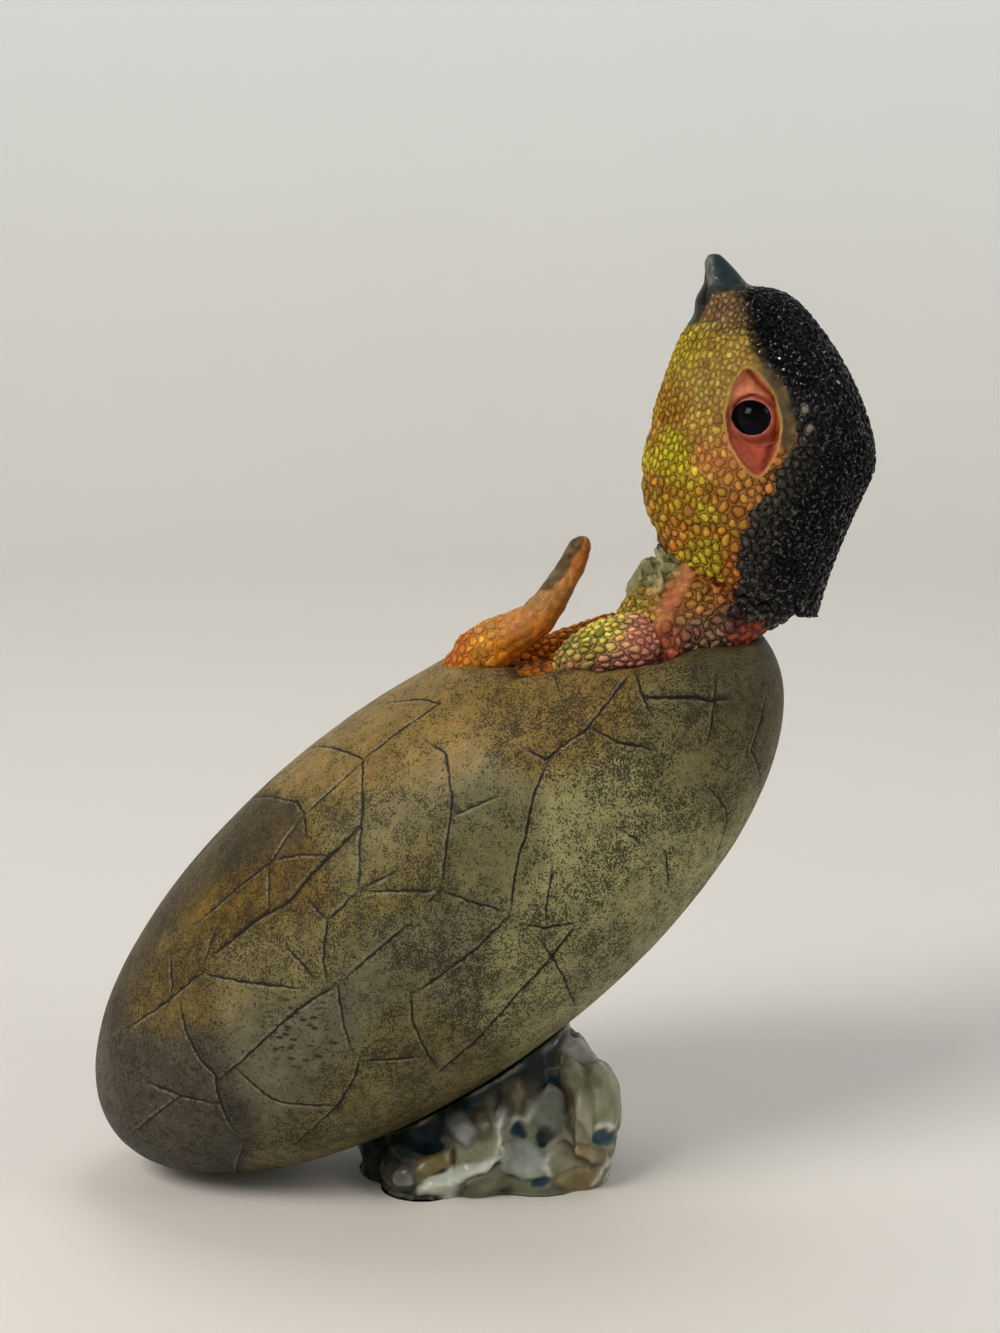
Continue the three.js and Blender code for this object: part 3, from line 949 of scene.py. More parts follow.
def blended(pixels: Array, dabs: tuple[Dab, ...], crisp: float = 1.0) -> Painting:
    """Blends dabs of paint over places of the photograph.

    Args:
        pixels: The places.
        dabs: The dabs.
        crisp: How sharply one dab gives way to the next.

    Returns:
        The colours, spacing and depth at each place.
    """
    squares = np.column_stack([np.sum((pixels - np.array(dab.at)) ** 2, axis=1) for dab in dabs])
    reaches = np.array([dab.reach for dab in dabs])
    weights = (np.exp(-0.5 * squares / reaches ** 2) + 1e-9 / (1.0 + squares)) ** crisp
    weights /= weights.sum(axis=1, keepdims=True)
    names = ("top", "crease", "spacing", "depth")
    parts = [weights @ np.array([getattr(dab, name) for dab in dabs]) for name in names]
    return Painting(*parts, np.zeros(len(pixels)), np.full(len(pixels), 0.5))


def warped(pixels: Array, points: Array, size: float, amount: float) -> Array:
    """Shifts the vertices' places unevenly, by pixels over a size in millimetres, so that paint wanders."""
    aside = points + np.array((61.0, 17.0, 5.0))
    return pixels + np.column_stack([waves(spots, amount, size, 3) for spots in (points, aside)])


# How near scales' seeds may lie as a share of their spacing, how it varies, and the bends of their outlines
SCALE_PACKED = 0.76
SCALE_VARIED: Span = (0.3, 5.0)
OUTLINE_BENDS = 1.7
OUTLINE_SHIFTS = (0.0, 33.0, 71.0)


@dataclass
class Scales:
    """Scales grown over a surface: their middles, the scale of each vertex, and how near it is to the
    border with the next scale, from 0 in the middle to 1."""

    middles: Array
    cell: Array
    ratio: Array

    @classmethod
    def grown(cls, points: Array, painting: Painting, stretch: Triple, ragged: float,
              rng: np.random.Generator) -> "Scales":
        """Grows scales from seeds that keep their spacing.

        Args:
            points: The vertices in millimetres.
            painting: The spacing at each vertex, and the share of scales there that run together.
            stretch: How much each axis is drawn out before distances are taken.
            ragged: How uneven the scales' outlines are, as a share of their spacing.
            rng: The source of chance.

        Returns:
            The scales.
        """
        bent = np.column_stack([waves(points + shift, 1.0, OUTLINE_BENDS) for shift in OUTLINE_SHIFTS])
        spacing = painting.spacing * (1.0 + waves(points, *SCALE_VARIED, 1))
        drawn = points * np.array(stretch) + ragged * spacing[:, None] * bent
        tree = tree_of(drawn)
        free = bytearray(b"\x01") * len(drawn)
        seeds: list[int] = []
        for index in rng.permutation(len(drawn)).tolist():
            if free[index]:
                seeds.append(index)
                for _, other, _ in tree.find_range(drawn[index], SCALE_PACKED * spacing[index]):
                    free[other] = 0
        middles = drawn[seeds]
        found = tree_of(middles)
        family = np.arange(len(seeds))
        for seed in np.flatnonzero(rng.random(len(seeds)) < painting.joined[seeds]).tolist():
            family[seed] = family[found.find_n(middles[seed], 2)[1][1]]
        kin = family.tolist()
        cell = np.empty(len(drawn), int)
        ratio = np.empty(len(drawn))
        for index, spot in enumerate(drawn):
            near = found.find_n(spot, 4)
            own = near[0]
            rival = next((other for other in near[1:] if kin[other[1]] != kin[own[1]]), near[-1])
            cell[index] = own[1]
            ratio[index] = own[2] / max(rival[2], 1e-6)
        return cls(points[seeds], cell, np.clip(ratio, 0.0, 1.0))


@dataclass
class Piece:
    """A piece of the figurine, which stands for a CAD node under a name of its own."""

    node: str
    name: str

    def dress(self, piece: Object, finish: Material, slot: Slot) -> None:
        """Smooths and paints the piece, sets it on its body and hides the CAD node that it stands for.

        Args:
            piece: The modelled object.
            finish: Its material.
            slot: Not used.
        """
        make_active(piece)
        bpy.ops.object.shade_smooth()
        piece.data.materials.append(finish)
        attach(piece, ROOT)
        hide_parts(self.node)
        LOG.info("%s: %d faces", self.name, len(piece.data.polygons))


SKIN_PAINT = SkinPaint().material()


@dataclass
class SkinPiece(Piece):
    """A casting of the hatchling's skin, grown with scales and painted, in millimetres."""

    dabs: tuple[Dab, ...]
    voxel: float = 0.6
    smoothing: int = 14
    stretch: Triple = (1.0, 1.0, 1.0)
    ragged: float = 0.16
    seed: int = SEED
    shade_varied: float = 0.17
    hue_varied: float = 0.07

    def build(self) -> None:
        """Casts, smooths, sculpts, paints and dresses the piece."""
        piece = cast_from(self.node, self.name, self.voxel)
        surface = Surface(piece)
        surface.relax(self.smoothing, self.softness(surface))
        surface.write()
        surface.finer()
        self.fold(surface)
        surface.write()
        self.grow(surface)
        surface.write()
        self.dress(piece, SKIN_PAINT, Slot.SKIN)

    def softness(self, surface: Surface) -> Array:
        """How far each vertex is smoothed, from 0 to 1."""
        return np.ones(len(surface.points))

    def fold(self, surface: Surface) -> None:
        """Sculpts the folds that lie under the scales."""

    def bare(self, pixels: Array, points: Array) -> Array:
        """Where the skin has no scales, from 0 to 1."""
        return np.zeros(len(pixels))

    def repaint(self, painting: Painting, pixels: Array) -> None:
        """Changes the dabs' painting at the places of whole scales."""

    def overpaint(self, colours: Array, surface: Surface, pixels: Array) -> Array:
        """Paints the bare places over the scales' colours."""
        return colours

    def grow(self, surface: Surface) -> None:
        """Grows the scales and paints them.

        Args:
            surface: The piece's surface.
        """
        rng = np.random.default_rng(self.seed)
        points = surface.points
        pixels = PHOTO.pixels(points)
        spread = blended(pixels, self.dabs)
        self.repaint(spread, pixels)
        scales = Scales.grown(points, spread, self.stretch, self.ragged, rng)
        middles = PHOTO.pixels(scales.middles)
        painting = blended(middles, self.dabs)
        self.repaint(painting, middles)
        bare = self.bare(pixels, points)
        high = np.interp(scales.ratio, *zip(*SCALE_PROFILE))
        surface.push(-spread.depth * (1.0 - bare) * (1.0 - high))
        chance = rng.normal(0.0, 1.0, (len(scales.middles), 2))
        tops = painting.top * (1.0 + self.shade_varied * chance[:, :1])
        tops[:, 1] *= 1.0 + self.hue_varied * chance[:, 1]
        colours = mixed(tops[scales.cell], spread.top, bare)
        surface.store(
            paint=np.clip(self.overpaint(colours, surface, pixels), 0.0, 1.0),
            crease=painting.crease[scales.cell],
            ratio=scales.ratio,
            bare=bare,
            gloss=spread.gloss,
        )


# Hatchling


@dataclass
class CappedSkin(SkinPiece):
    """Skin that runs under the hatchling's black cap, on either side of the joint under the head."""

    cap: Line = (
        (738, 284), (746, 330), (758, 360), (786, 392), (793, 420), (789, 445), (778, 470), (761, 498),
        (751, 510), (748, 533), (743, 546), (735, 556), (739, 576), (741, 590), (724, 603), (742, 618),
        (762, 629), (800, 640), (860, 660), (930, 480), (860, 280), (760, 262),
    )
    cap_top: Colour = (0.0018, 0.0023, 0.0026)
    cap_edge: Colour = (0.07, 0.062, 0.048)
    cap_crease: Colour = (0.0015, 0.0015, 0.002)
    cap_wander: Span = (5.0, 15.0)
    cap_fade: float = 10.0
    cap_fade_rows: Span = (330.0, 410.0)
    cap_spacing: float = 1.4
    cap_wider: float = 0.75
    cap_depth: float = 0.58
    cap_deeper: float = 0.18
    cap_joined: float = 0.4
    cap_joined_over: Span = (14.0, 40.0)
    edge_reach: float = 27.0
    edge_rows: Span = (360.0, 470.0)
    low_rows: Span = (570.0, 600.0)
    flecks: Line = ()
    fleck_reach: float = 3.6
    fleck_colour: Colour = (0.28, 0.23, 0.18)
    joint: Triple = (45.1, 0.0, 112.3)
    joint_up: Triple = (0.4, 0.0, 0.916)
    joint_crisp: Span = (0.8, 3.0)

    def over_joint(self, points: Array) -> Array:
        """How far each point lies over the joint's plane."""
        return (points - np.array(self.joint)) @ np.array(self.joint_up)

    def repaint(self, painting: Painting, pixels: Array) -> None:
        """Blackens the cap, with larger scales along its edge, and picks out a few pale scales.

        Args:
            painting: What the dabs give.
            pixels: The places.
        """
        rows = pixels[:, 1]
        flat = np.column_stack((pixels, np.zeros(len(pixels))))
        inwards = within(pixels, self.cap) + waves(flat, *self.cap_wander)
        fade = 1.0 + self.cap_fade * falling(rows, *self.cap_fade_rows)
        black = rising(inwards / fade, -1.0, 1.0)
        edge = bell(np.maximum(inwards, 0.0), self.edge_reach) * rising(rows, *self.edge_rows)
        spacing = self.cap_spacing + self.cap_wider * np.maximum(edge, rising(rows, *self.low_rows))
        painting.spacing += (spacing - painting.spacing) * black
        painting.depth += (self.cap_depth + self.cap_deeper * edge - painting.depth) * black
        painting.top = mixed(painting.top, mixed(self.cap_top, self.cap_edge, edge), black)
        painting.crease = mixed(painting.crease, self.cap_crease, black)
        painting.joined += self.cap_joined * rising(inwards, *self.cap_joined_over)
        painting.gloss += (1.0 - painting.gloss) * black
        for fleck in self.flecks:
            painting.top[to_spot(pixels, fleck) < self.fleck_reach] = self.fleck_colour


HEAD_DABS = (
    Dab("upper throat", (682, 345), 17, (0.47, 0.385, 0.024), (0.115, 0.046, 0.003), 1.35, 0.38),
    Dab("throat fold", (662, 400), 14, (0.41, 0.235, 0.018), (0.11, 0.034, 0.003), 1.45, 0.4),
    Dab("lower throat", (664, 455), 17, (0.53, 0.455, 0.024), (0.115, 0.046, 0.003), 1.55, 0.44),
    Dab("throat edge", (646, 440), 8, (0.36, 0.16, 0.01), (0.081, 0.024, 0.002), 1.5, 0.36),
    Dab("lore", (708, 375), 17, (0.43, 0.29, 0.072), (0.221, 0.123, 0.027), 1.35, 0.2),
    Dab("lower lore", (700, 425), 14, (0.44, 0.29, 0.062), (0.187, 0.089, 0.017), 1.55, 0.26),
    Dab("under eye", (712, 458), 13, (0.6, 0.28, 0.08), (0.255, 0.089, 0.02), 1.8, 0.28),
    Dab("jaw front", (655, 500), 13, (0.4, 0.23, 0.018), (0.068, 0.021, 0.002), 1.85, 0.44),
    Dab("jaw", (690, 500), 16, (0.5, 0.395, 0.034), (0.15, 0.054, 0.005), 1.9, 0.5),
    Dab("ear patch", (740, 500), 15, (0.48, 0.23, 0.055), (0.105, 0.031, 0.006), 1.8, 0.38),
    Dab("cheek pouch", (705, 545), 15, (0.48, 0.4, 0.034), (0.11, 0.03, 0.004), 2.1, 0.56),
    Dab("pouch back", (737, 560), 9, (0.48, 0.15, 0.036), (0.093, 0.016, 0.005), 1.9, 0.44),
    Dab("pouch front", (675, 540), 9, (0.42, 0.18, 0.026), (0.068, 0.016, 0.002), 2.0, 0.48),
    Dab("beak root", (712, 308), 12, (0.29, 0.18, 0.08), (0.062, 0.032, 0.011), 1.25, 0.26),
)


@dataclass(frozen=True)
class Beak:
    """The smooth beak and its mouth line: places and reaches in photograph pixels, depths in millimetres."""

    outline: Line = (
        (688, 326), (699, 322), (708, 303), (713, 294), (737, 290),
        (754, 287), (752, 262), (715, 236), (676, 262),
    )
    crisp: Span = (6.0, -8.0)
    bare: Span = (-2.0, 2.0)
    painted: Span = (-2.5, 1.5)
    fuller: float = 0.35
    fuller_over: Span = (-2.0, 4.0)
    mouth: Line = ((702, 254), (705, 273), (707, 288), (704, 301))
    mouth_cut: Span = (0.45, 2.2)
    mouth_drawn: float = 1.8
    mouth_rows: Span = (268.0, 280.0)
    mouth_dark: float = 0.8
    corner: Pixel = (704, 302)
    corner_cut: Span = (0.8, 3.2)
    corner_drawn: float = 3.0
    dark: Colour = (0.032, 0.049, 0.051)
    pale: Colour = (0.2, 0.195, 0.17)
    pale_columns: Span = (709.0, 716.0)
    pale_rows: Span = (280.0, 294.0)
    streaks: Triple = (3.0, 3.0, 0.5)
    streaked: Triple = (0.65, 0.7, 1.6)
    low: Colour = (0.036, 0.03, 0.022)
    low_columns: Span = (702.0, 707.0)
    low_rows: Span = (282.0, 292.0)
    low_from: Span = (270.0, 276.0)

    def share(self, pixels: Array, over: Span) -> Array:
        """How much of the beak lies at each place, eased over a span of depths inside its outline."""
        return rising(within(pixels, self.outline), *over)

    def cut(self, pixels: Array) -> Array:
        """How deep the mouth line and its corner are at each place."""
        groove = ridge(to_line(pixels, self.mouth), *self.mouth_cut)
        return groove + ridge(to_spot(pixels, self.corner), *self.corner_cut)

    def colours(self, points: Array, pixels: Array) -> Array:
        """The beak's colours: pale streaks in front, dark behind and below, a black mouth line.

        Args:
            points: The vertices.
            pixels: Their places in the photograph.

        Returns:
            One colour for each vertex.
        """
        right, down = pixels.T
        pale = falling(right, *self.pale_columns) * falling(down, *self.pale_rows)
        pale *= patches(points * np.array(self.streaks), *self.streaked, 3)
        lower = np.maximum(falling(right, *self.low_columns), rising(down, *self.low_rows))
        lower *= rising(down, *self.low_from)
        beak = mixed(mixed(self.dark, self.pale, pale), self.low, lower)
        groove = bell(to_line(pixels, self.mouth), self.mouth_drawn) * rising(down, *self.mouth_rows)
        pit = bell(to_spot(pixels, self.corner), self.corner_drawn)
        return beak * (1.0 - self.mouth_dark * np.maximum(groove, pit))[:, None]


@dataclass(frozen=True)
class EyeHollow:
    """The pointed hollow in each cheek with its lid round the bead, in millimetres, with its creases in
    photograph pixels. Other spans are shares of the way to its rim or lid, or up or back round the eye."""

    half_long: float = 9.5
    half_wide: float = 4.55
    tilt: float = math.radians(5.5)
    back: float = -0.65
    down: float = 0.3
    depth: float = 2.2
    steep: float = 0.6
    rounded: float = 0.3
    wander: Span = (0.05, 3.5)
    off_eye: float = 9.0
    around: Span = (1.25, 1.9)
    blend: Span = (1.3, 1.6)
    lip_at: float = 1.07
    lip: Span = (0.3, 0.1)
    lid_half_wide: float = 3.3
    lid_half_high: float = 3.0
    lid_back: float = -0.95
    lid_up: float = 0.45
    lid_proud: float = 0.22
    lid_open: Span = (0.92, 1.0)
    lid_full: Span = (1.12, 1.95)
    eye_diameter: float = 9.0
    eye_seen: float = 4.2
    eye_clear: float = 0.9
    eye_ring: Span = (4.45, 5.0)
    creases: tuple[Line, ...] = (
        ((749, 371), (758, 383), (770, 394), (776, 405)),
        ((776, 432), (770, 448), (764, 468)),
    )
    crease_cut: Span = (0.4, 3.0)
    crease_inside: Span = (0.9, 1.0)
    crease_off_lid: Span = (1.3, 1.7)
    crease_paint: Span = (0.92, 3.2)
    lid_crease: Line = ((733, 406), (740, 399), (751, 395), (762, 398), (771, 406))
    lid_crease_paint: Span = (0.75, 1.7)
    bare: Span = (1.04, 1.15)
    painted: Span = (0.95, 1.03)
    brow: Colour = (0.095, 0.072, 0.046)
    brow_from: Span = (1.0, 1.12)
    brow_to: Span = (1.35, 1.75)
    brow_turn: float = 0.35
    brow_round: Span = (0.1, 0.6)
    brow_bare: float = 0.8
    brow_share: float = 0.9
    worn: Span = (0.3, 1.4)
    lid: Colour = (0.41, 0.098, 0.055)
    above: Colour = (0.62, 0.24, 0.125)
    above_up: Span = (0.1, 0.6)
    above_lid: Span = (1.22, 1.42)
    behind: Colour = (0.36, 0.085, 0.012)
    behind_back: Span = (0.5, 0.85)
    behind_rim: Span = (0.62, 0.85)
    behind_share: float = 0.85
    ring: Colour = (0.42, 0.15, 0.105)
    ring_lid: Span = (1.08, 1.28)
    ring_share: float = 0.8
    # Dark red of the creases and of the lid's fold line; along the upper crease it is painted shadow beneath
    # the brow
    deep: Colour = (0.15, 0.012, 0.004)
    rim: Colour = (0.5, 0.32, 0.17)
    rim_from: Span = (0.95, 1.01)
    rim_to: Span = (1.04, 1.13)
    rim_share: float = 0.38
    rim_faded: float = 0.8
    rim_faded_up: Span = (0.3, 0.8)
    rim_browed: float = 0.6

    def middle(self) -> Array:
        """The middle of the left eye's bead."""
        low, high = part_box("left_eye")
        return np.array((low + high) / 2) / MM

    def place(self, points: Array) -> tuple[Array, Array, Array]:
        """Each vertex's place in the nearer eye's hollow.

        Args:
            points: The vertices.

        Returns:
            The share of the way to the hollow's rim, the share of the way to the lid's edge, and the angle
            round the eye from its back, upwards.
        """
        middle = self.middle()
        back, _, up = (points - middle).T
        sine, cosine = math.sin(self.tilt), math.cos(self.tilt)
        across = (back - self.back) * cosine + (up + self.down) * sine
        along = (up + self.down) * cosine - (back - self.back) * sine
        arc = (self.half_long ** 2 + self.half_wide ** 2) / (2.0 * self.half_wide)
        inner = arc - self.half_wide
        share = (np.hypot(along, np.sqrt(across ** 2 + self.rounded) + inner) - inner) / self.half_wide
        share += waves(points, *self.wander)
        lid = np.hypot((back - self.lid_back) / self.lid_half_wide, (up - self.lid_up) / self.lid_half_high)
        sunk = np.abs(points[:, 1]) < 0.5 * abs(middle[1])
        return np.where(sunk, self.off_eye, share), np.where(sunk, self.off_eye, lid), np.arctan2(up, back)

    def skin_terms(self, points: Array) -> Array:
        """The terms of a smooth skin over the eye, as a cubic of the profile in centimetres."""
        back, _, up = (points - self.middle()).T / 10.0
        return np.column_stack([back ** i * up ** j for i in range(4) for j in range(4 - i)])

    def sink(self, points: Array, share: Array, lid: Array) -> None:
        """Sinks the hollows into the cheeks and lays their lids round the beads.

        Args:
            points: The vertices, which are moved.
            share: The share of the way to the hollow's rim.
            lid: The share of the way to the lid's edge.
        """
        low, high = self.around
        around = (share > low) & (share < high)
        terms = self.skin_terms(points)
        fit, *_ = np.linalg.lstsq(terms[around], np.abs(points[around, 1]), rcond=None)
        skin = terms @ fit
        hollow = self.depth * np.clip(1.0 - share ** 2, 0.0, 1.0) ** self.steep
        middle = self.middle()
        apart = np.hypot(points[:, 0] - middle[0], points[:, 2] - middle[2])
        reach = np.minimum(apart, self.eye_seen)
        bead = skin - abs(middle[1]) - np.sqrt((self.eye_diameter / 2) ** 2 - reach ** 2)
        ring = np.maximum(falling(lid, *self.lid_full), falling(apart, *self.eye_ring))
        depth = hollow + (np.minimum(bead - self.lid_proud, hollow) - hollow) * ring
        depth += (np.maximum(depth, bead + self.eye_clear) - depth) * falling(lid, *self.lid_open)
        lip = ridge(share - self.lip_at, *self.lip)
        blend = falling(share, *self.blend)
        half = np.abs(points[:, 1]) + (skin - depth + lip - np.abs(points[:, 1])) * blend
        points[:, 1] = np.where(points[:, 1] < 0.0, -half, half)

    def cut(self, pixels: Array, share: Array, lid: Array) -> Array:
        """How deep the creases round the lid are at each place, from its shares of the way to rim and lid."""
        inside = falling(share, *self.crease_inside) * rising(lid, *self.crease_off_lid)
        return inside * ridge(to_lines(pixels, self.creases), *self.crease_cut)

    def browed(self, share: Array, angle: Array) -> Array:
        """How much of the smooth brow behind each hollow lies at each vertex, from its share and angle."""
        near = rising(share, *self.brow_from) * falling(share, *self.brow_to)
        return near * rising(np.cos(angle - self.brow_turn), *self.brow_round)

    def bared(self, points: Array) -> Array:
        """How bare of scales the hollows and the brows are at each vertex, from 0 to 1."""
        share, _, angle = self.place(points)
        return np.maximum(falling(share, *self.bare), self.brow_bare * self.browed(share, angle))

    def painted_over(self, colours: Array, points: Array, pixels: Array) -> Array:
        """Paints the brows and the hollows.

        Args:
            colours: The vertices' colours.
            points: The vertices.
            pixels: Their places in the photograph.

        Returns:
            The colours with these places painted.
        """
        share, lid, angle = self.place(points)
        up, back = np.sin(angle), np.cos(angle)
        brow = self.browed(share, angle)
        worn = 1.0 + waves(points, *self.worn)
        colours = mixed(colours, np.array(self.brow) * worn[:, None], self.brow_share * brow)
        above = rising(up, *self.above_up) * rising(lid, *self.above_lid)
        behind = rising(back, *self.behind_back) * rising(share, *self.behind_rim)
        hollow = mixed(self.lid, self.above, above)
        for colour, layer in (
            (self.behind, self.behind_share * behind),
            (self.ring, self.ring_share * falling(lid, *self.ring_lid)),
            # Dark red creases, the upper one painted shadow beneath the overhanging brow
            (self.deep, ridge(to_lines(pixels, self.creases), *self.crease_paint)),
            (self.deep, ridge(to_line(pixels, self.lid_crease), *self.lid_crease_paint)),
        ):
            hollow = mixed(hollow, colour, layer)
        colours = mixed(colours, hollow, falling(share, *self.painted))
        rim = rising(share, *self.rim_from) * falling(share, *self.rim_to)
        rim *= 1.0 - self.rim_faded * rising(up, *self.rim_faded_up)
        rim = np.clip(self.rim_share * worn, 0.0, 1.0) * rim * (1.0 - self.rim_browed * brow)
        return mixed(colours, self.rim, rim)


BEAK = Beak()
HOLLOW = EyeHollow()


@dataclass
class Head(CappedSkin):
    """The hatchling's head: beak, scaled cheeks, black cap, and a lidded hollow round each eye."""

    grooves: tuple[Line, ...] = (
        ((640, 432), (652, 426), (678, 414)),
        ((640, 475), (661, 483), (677, 495), (688, 513)),
        ((702, 494), (721, 501), (741, 516)),
        ((668, 523), (690, 529), (712, 529), (736, 542)),
    )
    groove_reach: float = 6.5
    groove_deep: float = 0.5
    groove_share: float = 0.7
    groove_colour: Colour = (0.46, 0.185, 0.028)
    groove_crease: Colour = (0.105, 0.02, 0.002)
    skirt: float = 0.55
    skirt_uneven: Span = (0.7, 3.0)
    skirt_over: Span = (0.3, 1.5)
    flecks: Line = ((805, 413), (811, 425), (798, 431))

    def softness(self, surface: Surface) -> Array:
        """Keeps the beak and the edge on the neck crisp while the rest is smoothed."""
        off_beak = BEAK.share(PHOTO.pixels(surface.points), BEAK.crisp)
        return off_beak * rising(self.over_joint(surface.points), *self.joint_crisp)

    def grooved(self, pixels: Array) -> Array:
        """How much of the throat's grooves lies at each place."""
        return bell(to_lines(pixels, self.grooves), self.groove_reach)

    def repaint(self, painting: Painting, pixels: Array) -> None:
        """Reddens the throat's grooves before the cap is blackened.

        Args:
            painting: What the dabs give.
            pixels: The places.
        """
        share = self.groove_share * self.grooved(pixels)
        painting.top = mixed(painting.top, self.groove_colour, share)
        painting.crease = mixed(painting.crease, self.groove_crease, share)
        super().repaint(painting, pixels)

    def fold(self, surface: Surface) -> None:
        """Sculpts the eye hollows, the throat's grooves, the beak's mouth line and the skirt over the neck.

        Args:
            surface: The head's surface.
        """
        points = surface.points
        share, lid, _ = HOLLOW.place(points)
        HOLLOW.sink(points, share, lid)
        pixels = PHOTO.pixels(points)
        fuller = BEAK.fuller * BEAK.share(pixels, BEAK.fuller_over)
        points[:, :2] += surface.normals[:, :2] * fuller[:, None]
        throat = self.groove_deep * self.grooved(pixels)
        surface.push(-BEAK.cut(pixels) - throat - HOLLOW.cut(pixels, share, lid))
        uneven = 1.0 + waves(surface.points, *self.skirt_uneven)
        drop = self.skirt * uneven * falling(self.over_joint(surface.points), *self.skirt_over)
        surface.points = surface.points - drop[:, None] * np.array(self.joint_up)

    def bare(self, pixels: Array, points: Array) -> Array:
        """The beak, the eye hollows and the brows have no scales."""
        return np.maximum(BEAK.share(pixels, BEAK.bare), HOLLOW.bared(points))

    def overpaint(self, colours: Array, surface: Surface, pixels: Array) -> Array:
        """Paints the beak, the brows and the eye hollows."""
        colours = mixed(colours, BEAK.colours(surface.points, pixels), BEAK.share(pixels, BEAK.painted))
        return HOLLOW.painted_over(colours, surface.points, pixels)


NECK_DABS = (
    Dab("neck lumps", (650, 566), 12, (0.31, 0.3, 0.145), (0.09, 0.085, 0.032), 3.2, 1.0),
    Dab("neck front", (636, 605), 13, (0.5, 0.36, 0.06), (0.1, 0.056, 0.009), 2.0, 0.6),
    Dab("fold side", (672, 600), 9, (0.42, 0.17, 0.058), (0.18, 0.05, 0.016), 2.4, 0.35),
    Dab("ring scales", (700, 592), 13, (0.5, 0.27, 0.056), (0.1, 0.014, 0.004), 2.1, 0.72),
    Dab("red scales", (720, 580), 9, (0.53, 0.16, 0.04), (0.12, 0.016, 0.005), 2.0, 0.62),
    Dab("nape", (742, 612), 10, (0.085, 0.036, 0.032), (0.01, 0.005, 0.005), 2.4, 0.55),
    Dab("nape rim", (748, 634), 7, (0.44, 0.1, 0.045), (0.14, 0.02, 0.012), 2.6, 0.35),
    Dab("grey swirl", (700, 635), 12, (0.3, 0.19, 0.11), (0.034, 0.014, 0.008), 2.3, 0.75),
    Dab("red root", (665, 645), 10, (0.42, 0.11, 0.055), (0.1, 0.015, 0.01), 2.4, 0.5),
    Dab("chest", (545, 660), 40, (0.48, 0.17, 0.016), (0.13, 0.03, 0.003), 2.1, 0.6),
)


@dataclass(frozen=True)
class Fold:
    """A smooth fold of the neck: its line and reach in photograph pixels, its height in millimetres, and the
    grooves along its sides as shares of its height and reach."""

    name: str
    line: Line
    reach: float
    high: float
    colour: Colour
    side_deep: float = 0.7
    side_out: float = 1.55
    side_wide: float = 0.55

    def share(self, pixels: Array) -> Array:
        """How much of the fold lies at each place."""
        return bell(to_line(pixels, self.line), self.reach)

    def relief(self, pixels: Array) -> Array:
        """The fold's height at each place, with a groove along both sides."""
        gap = to_line(pixels, self.line) / self.reach
        return self.high * (bell(gap, 1.0) - self.side_deep * bell(gap - self.side_out, self.side_wide))


NECK_FOLDS = (
    Fold("red fold", ((690, 568), (678, 590), (668, 606), (657, 634), (644, 658)), 9.0, 0.45,
         (0.46, 0.15, 0.082)),
    Fold("grey fold", ((643, 556), (633, 572), (628, 590)), 6.0, 0.7, (0.19, 0.205, 0.115)),
    Fold("pale fold", ((655, 546), (663, 566), (656, 590)), 4.0, 0.7, (0.43, 0.36, 0.2)),
)


@dataclass
class Neck(CappedSkin):
    """The torso in the egg's mouth and the folded neck that rises from it."""

    flecks: Line = ((643, 624), (650, 629))
    fleck_colour: Colour = (0.52, 0.43, 0.37)
    pocket: Pixel = (652, 624)
    pocket_fill: Span = (1.0, 13.0)
    tuck: float = 0.55
    tuck_over: Span = (-4.0, -0.6)
    lift: float = 0.9
    lift_over: Span = (-1.4, -0.3)
    lumps: Span = (0.5, 5.0)
    inset: float = 0.4
    wander: Span = (5.0, 6.0)
    fold_bare: float = 0.8
    patchy: Triple = (0.66, 0.55, 2.4)

    def softness(self, surface: Surface) -> Array:
        """Keeps the edge under the head crisp."""
        return rising(-self.over_joint(surface.points), *self.joint_crisp)

    def wandering(self, points: Array) -> Array:
        """The vertices' places in the photograph, shifted so that the folds wander."""
        return warped(PHOTO.pixels(points), points, *self.wander)

    def fold(self, surface: Surface) -> None:
        """Raises the smooth folds down the neck, and tucks the neck's top up under the head.

        Args:
            surface: The neck's surface.
        """
        pixels = PHOTO.pixels(surface.points)
        places = self.wandering(surface.points)
        over = self.over_joint(surface.points)
        tucked = self.tuck * rising(over, *self.tuck_over)
        lumps = waves(surface.points, *self.lumps) - self.inset
        filled = ridge(to_spot(pixels, self.pocket), *self.pocket_fill)
        surface.push(sum(fold.relief(places) for fold in NECK_FOLDS) + filled - tucked + lumps)
        lifted = self.lift * rising(over, *self.lift_over)
        surface.points = surface.points + lifted[:, None] * np.array(self.joint_up)

    def bare(self, pixels: Array, points: Array) -> Array:
        """The folds have hardly any scales."""
        places = self.wandering(points)
        return self.fold_bare * np.max([fold.share(places) for fold in NECK_FOLDS], axis=0)

    def overpaint(self, colours: Array, surface: Surface, pixels: Array) -> Array:
        """Paints the folds in patches.

        Args:
            colours: The scales' colours.
            surface: The neck's surface.
            pixels: Not used.

        Returns:
            The colours with the folds painted.
        """
        patchy = patches(surface.points, *self.patchy)
        places = self.wandering(surface.points)
        for fold in NECK_FOLDS:
            colours = mixed(colours, fold.colour, patchy * fold.share(places))
        return colours


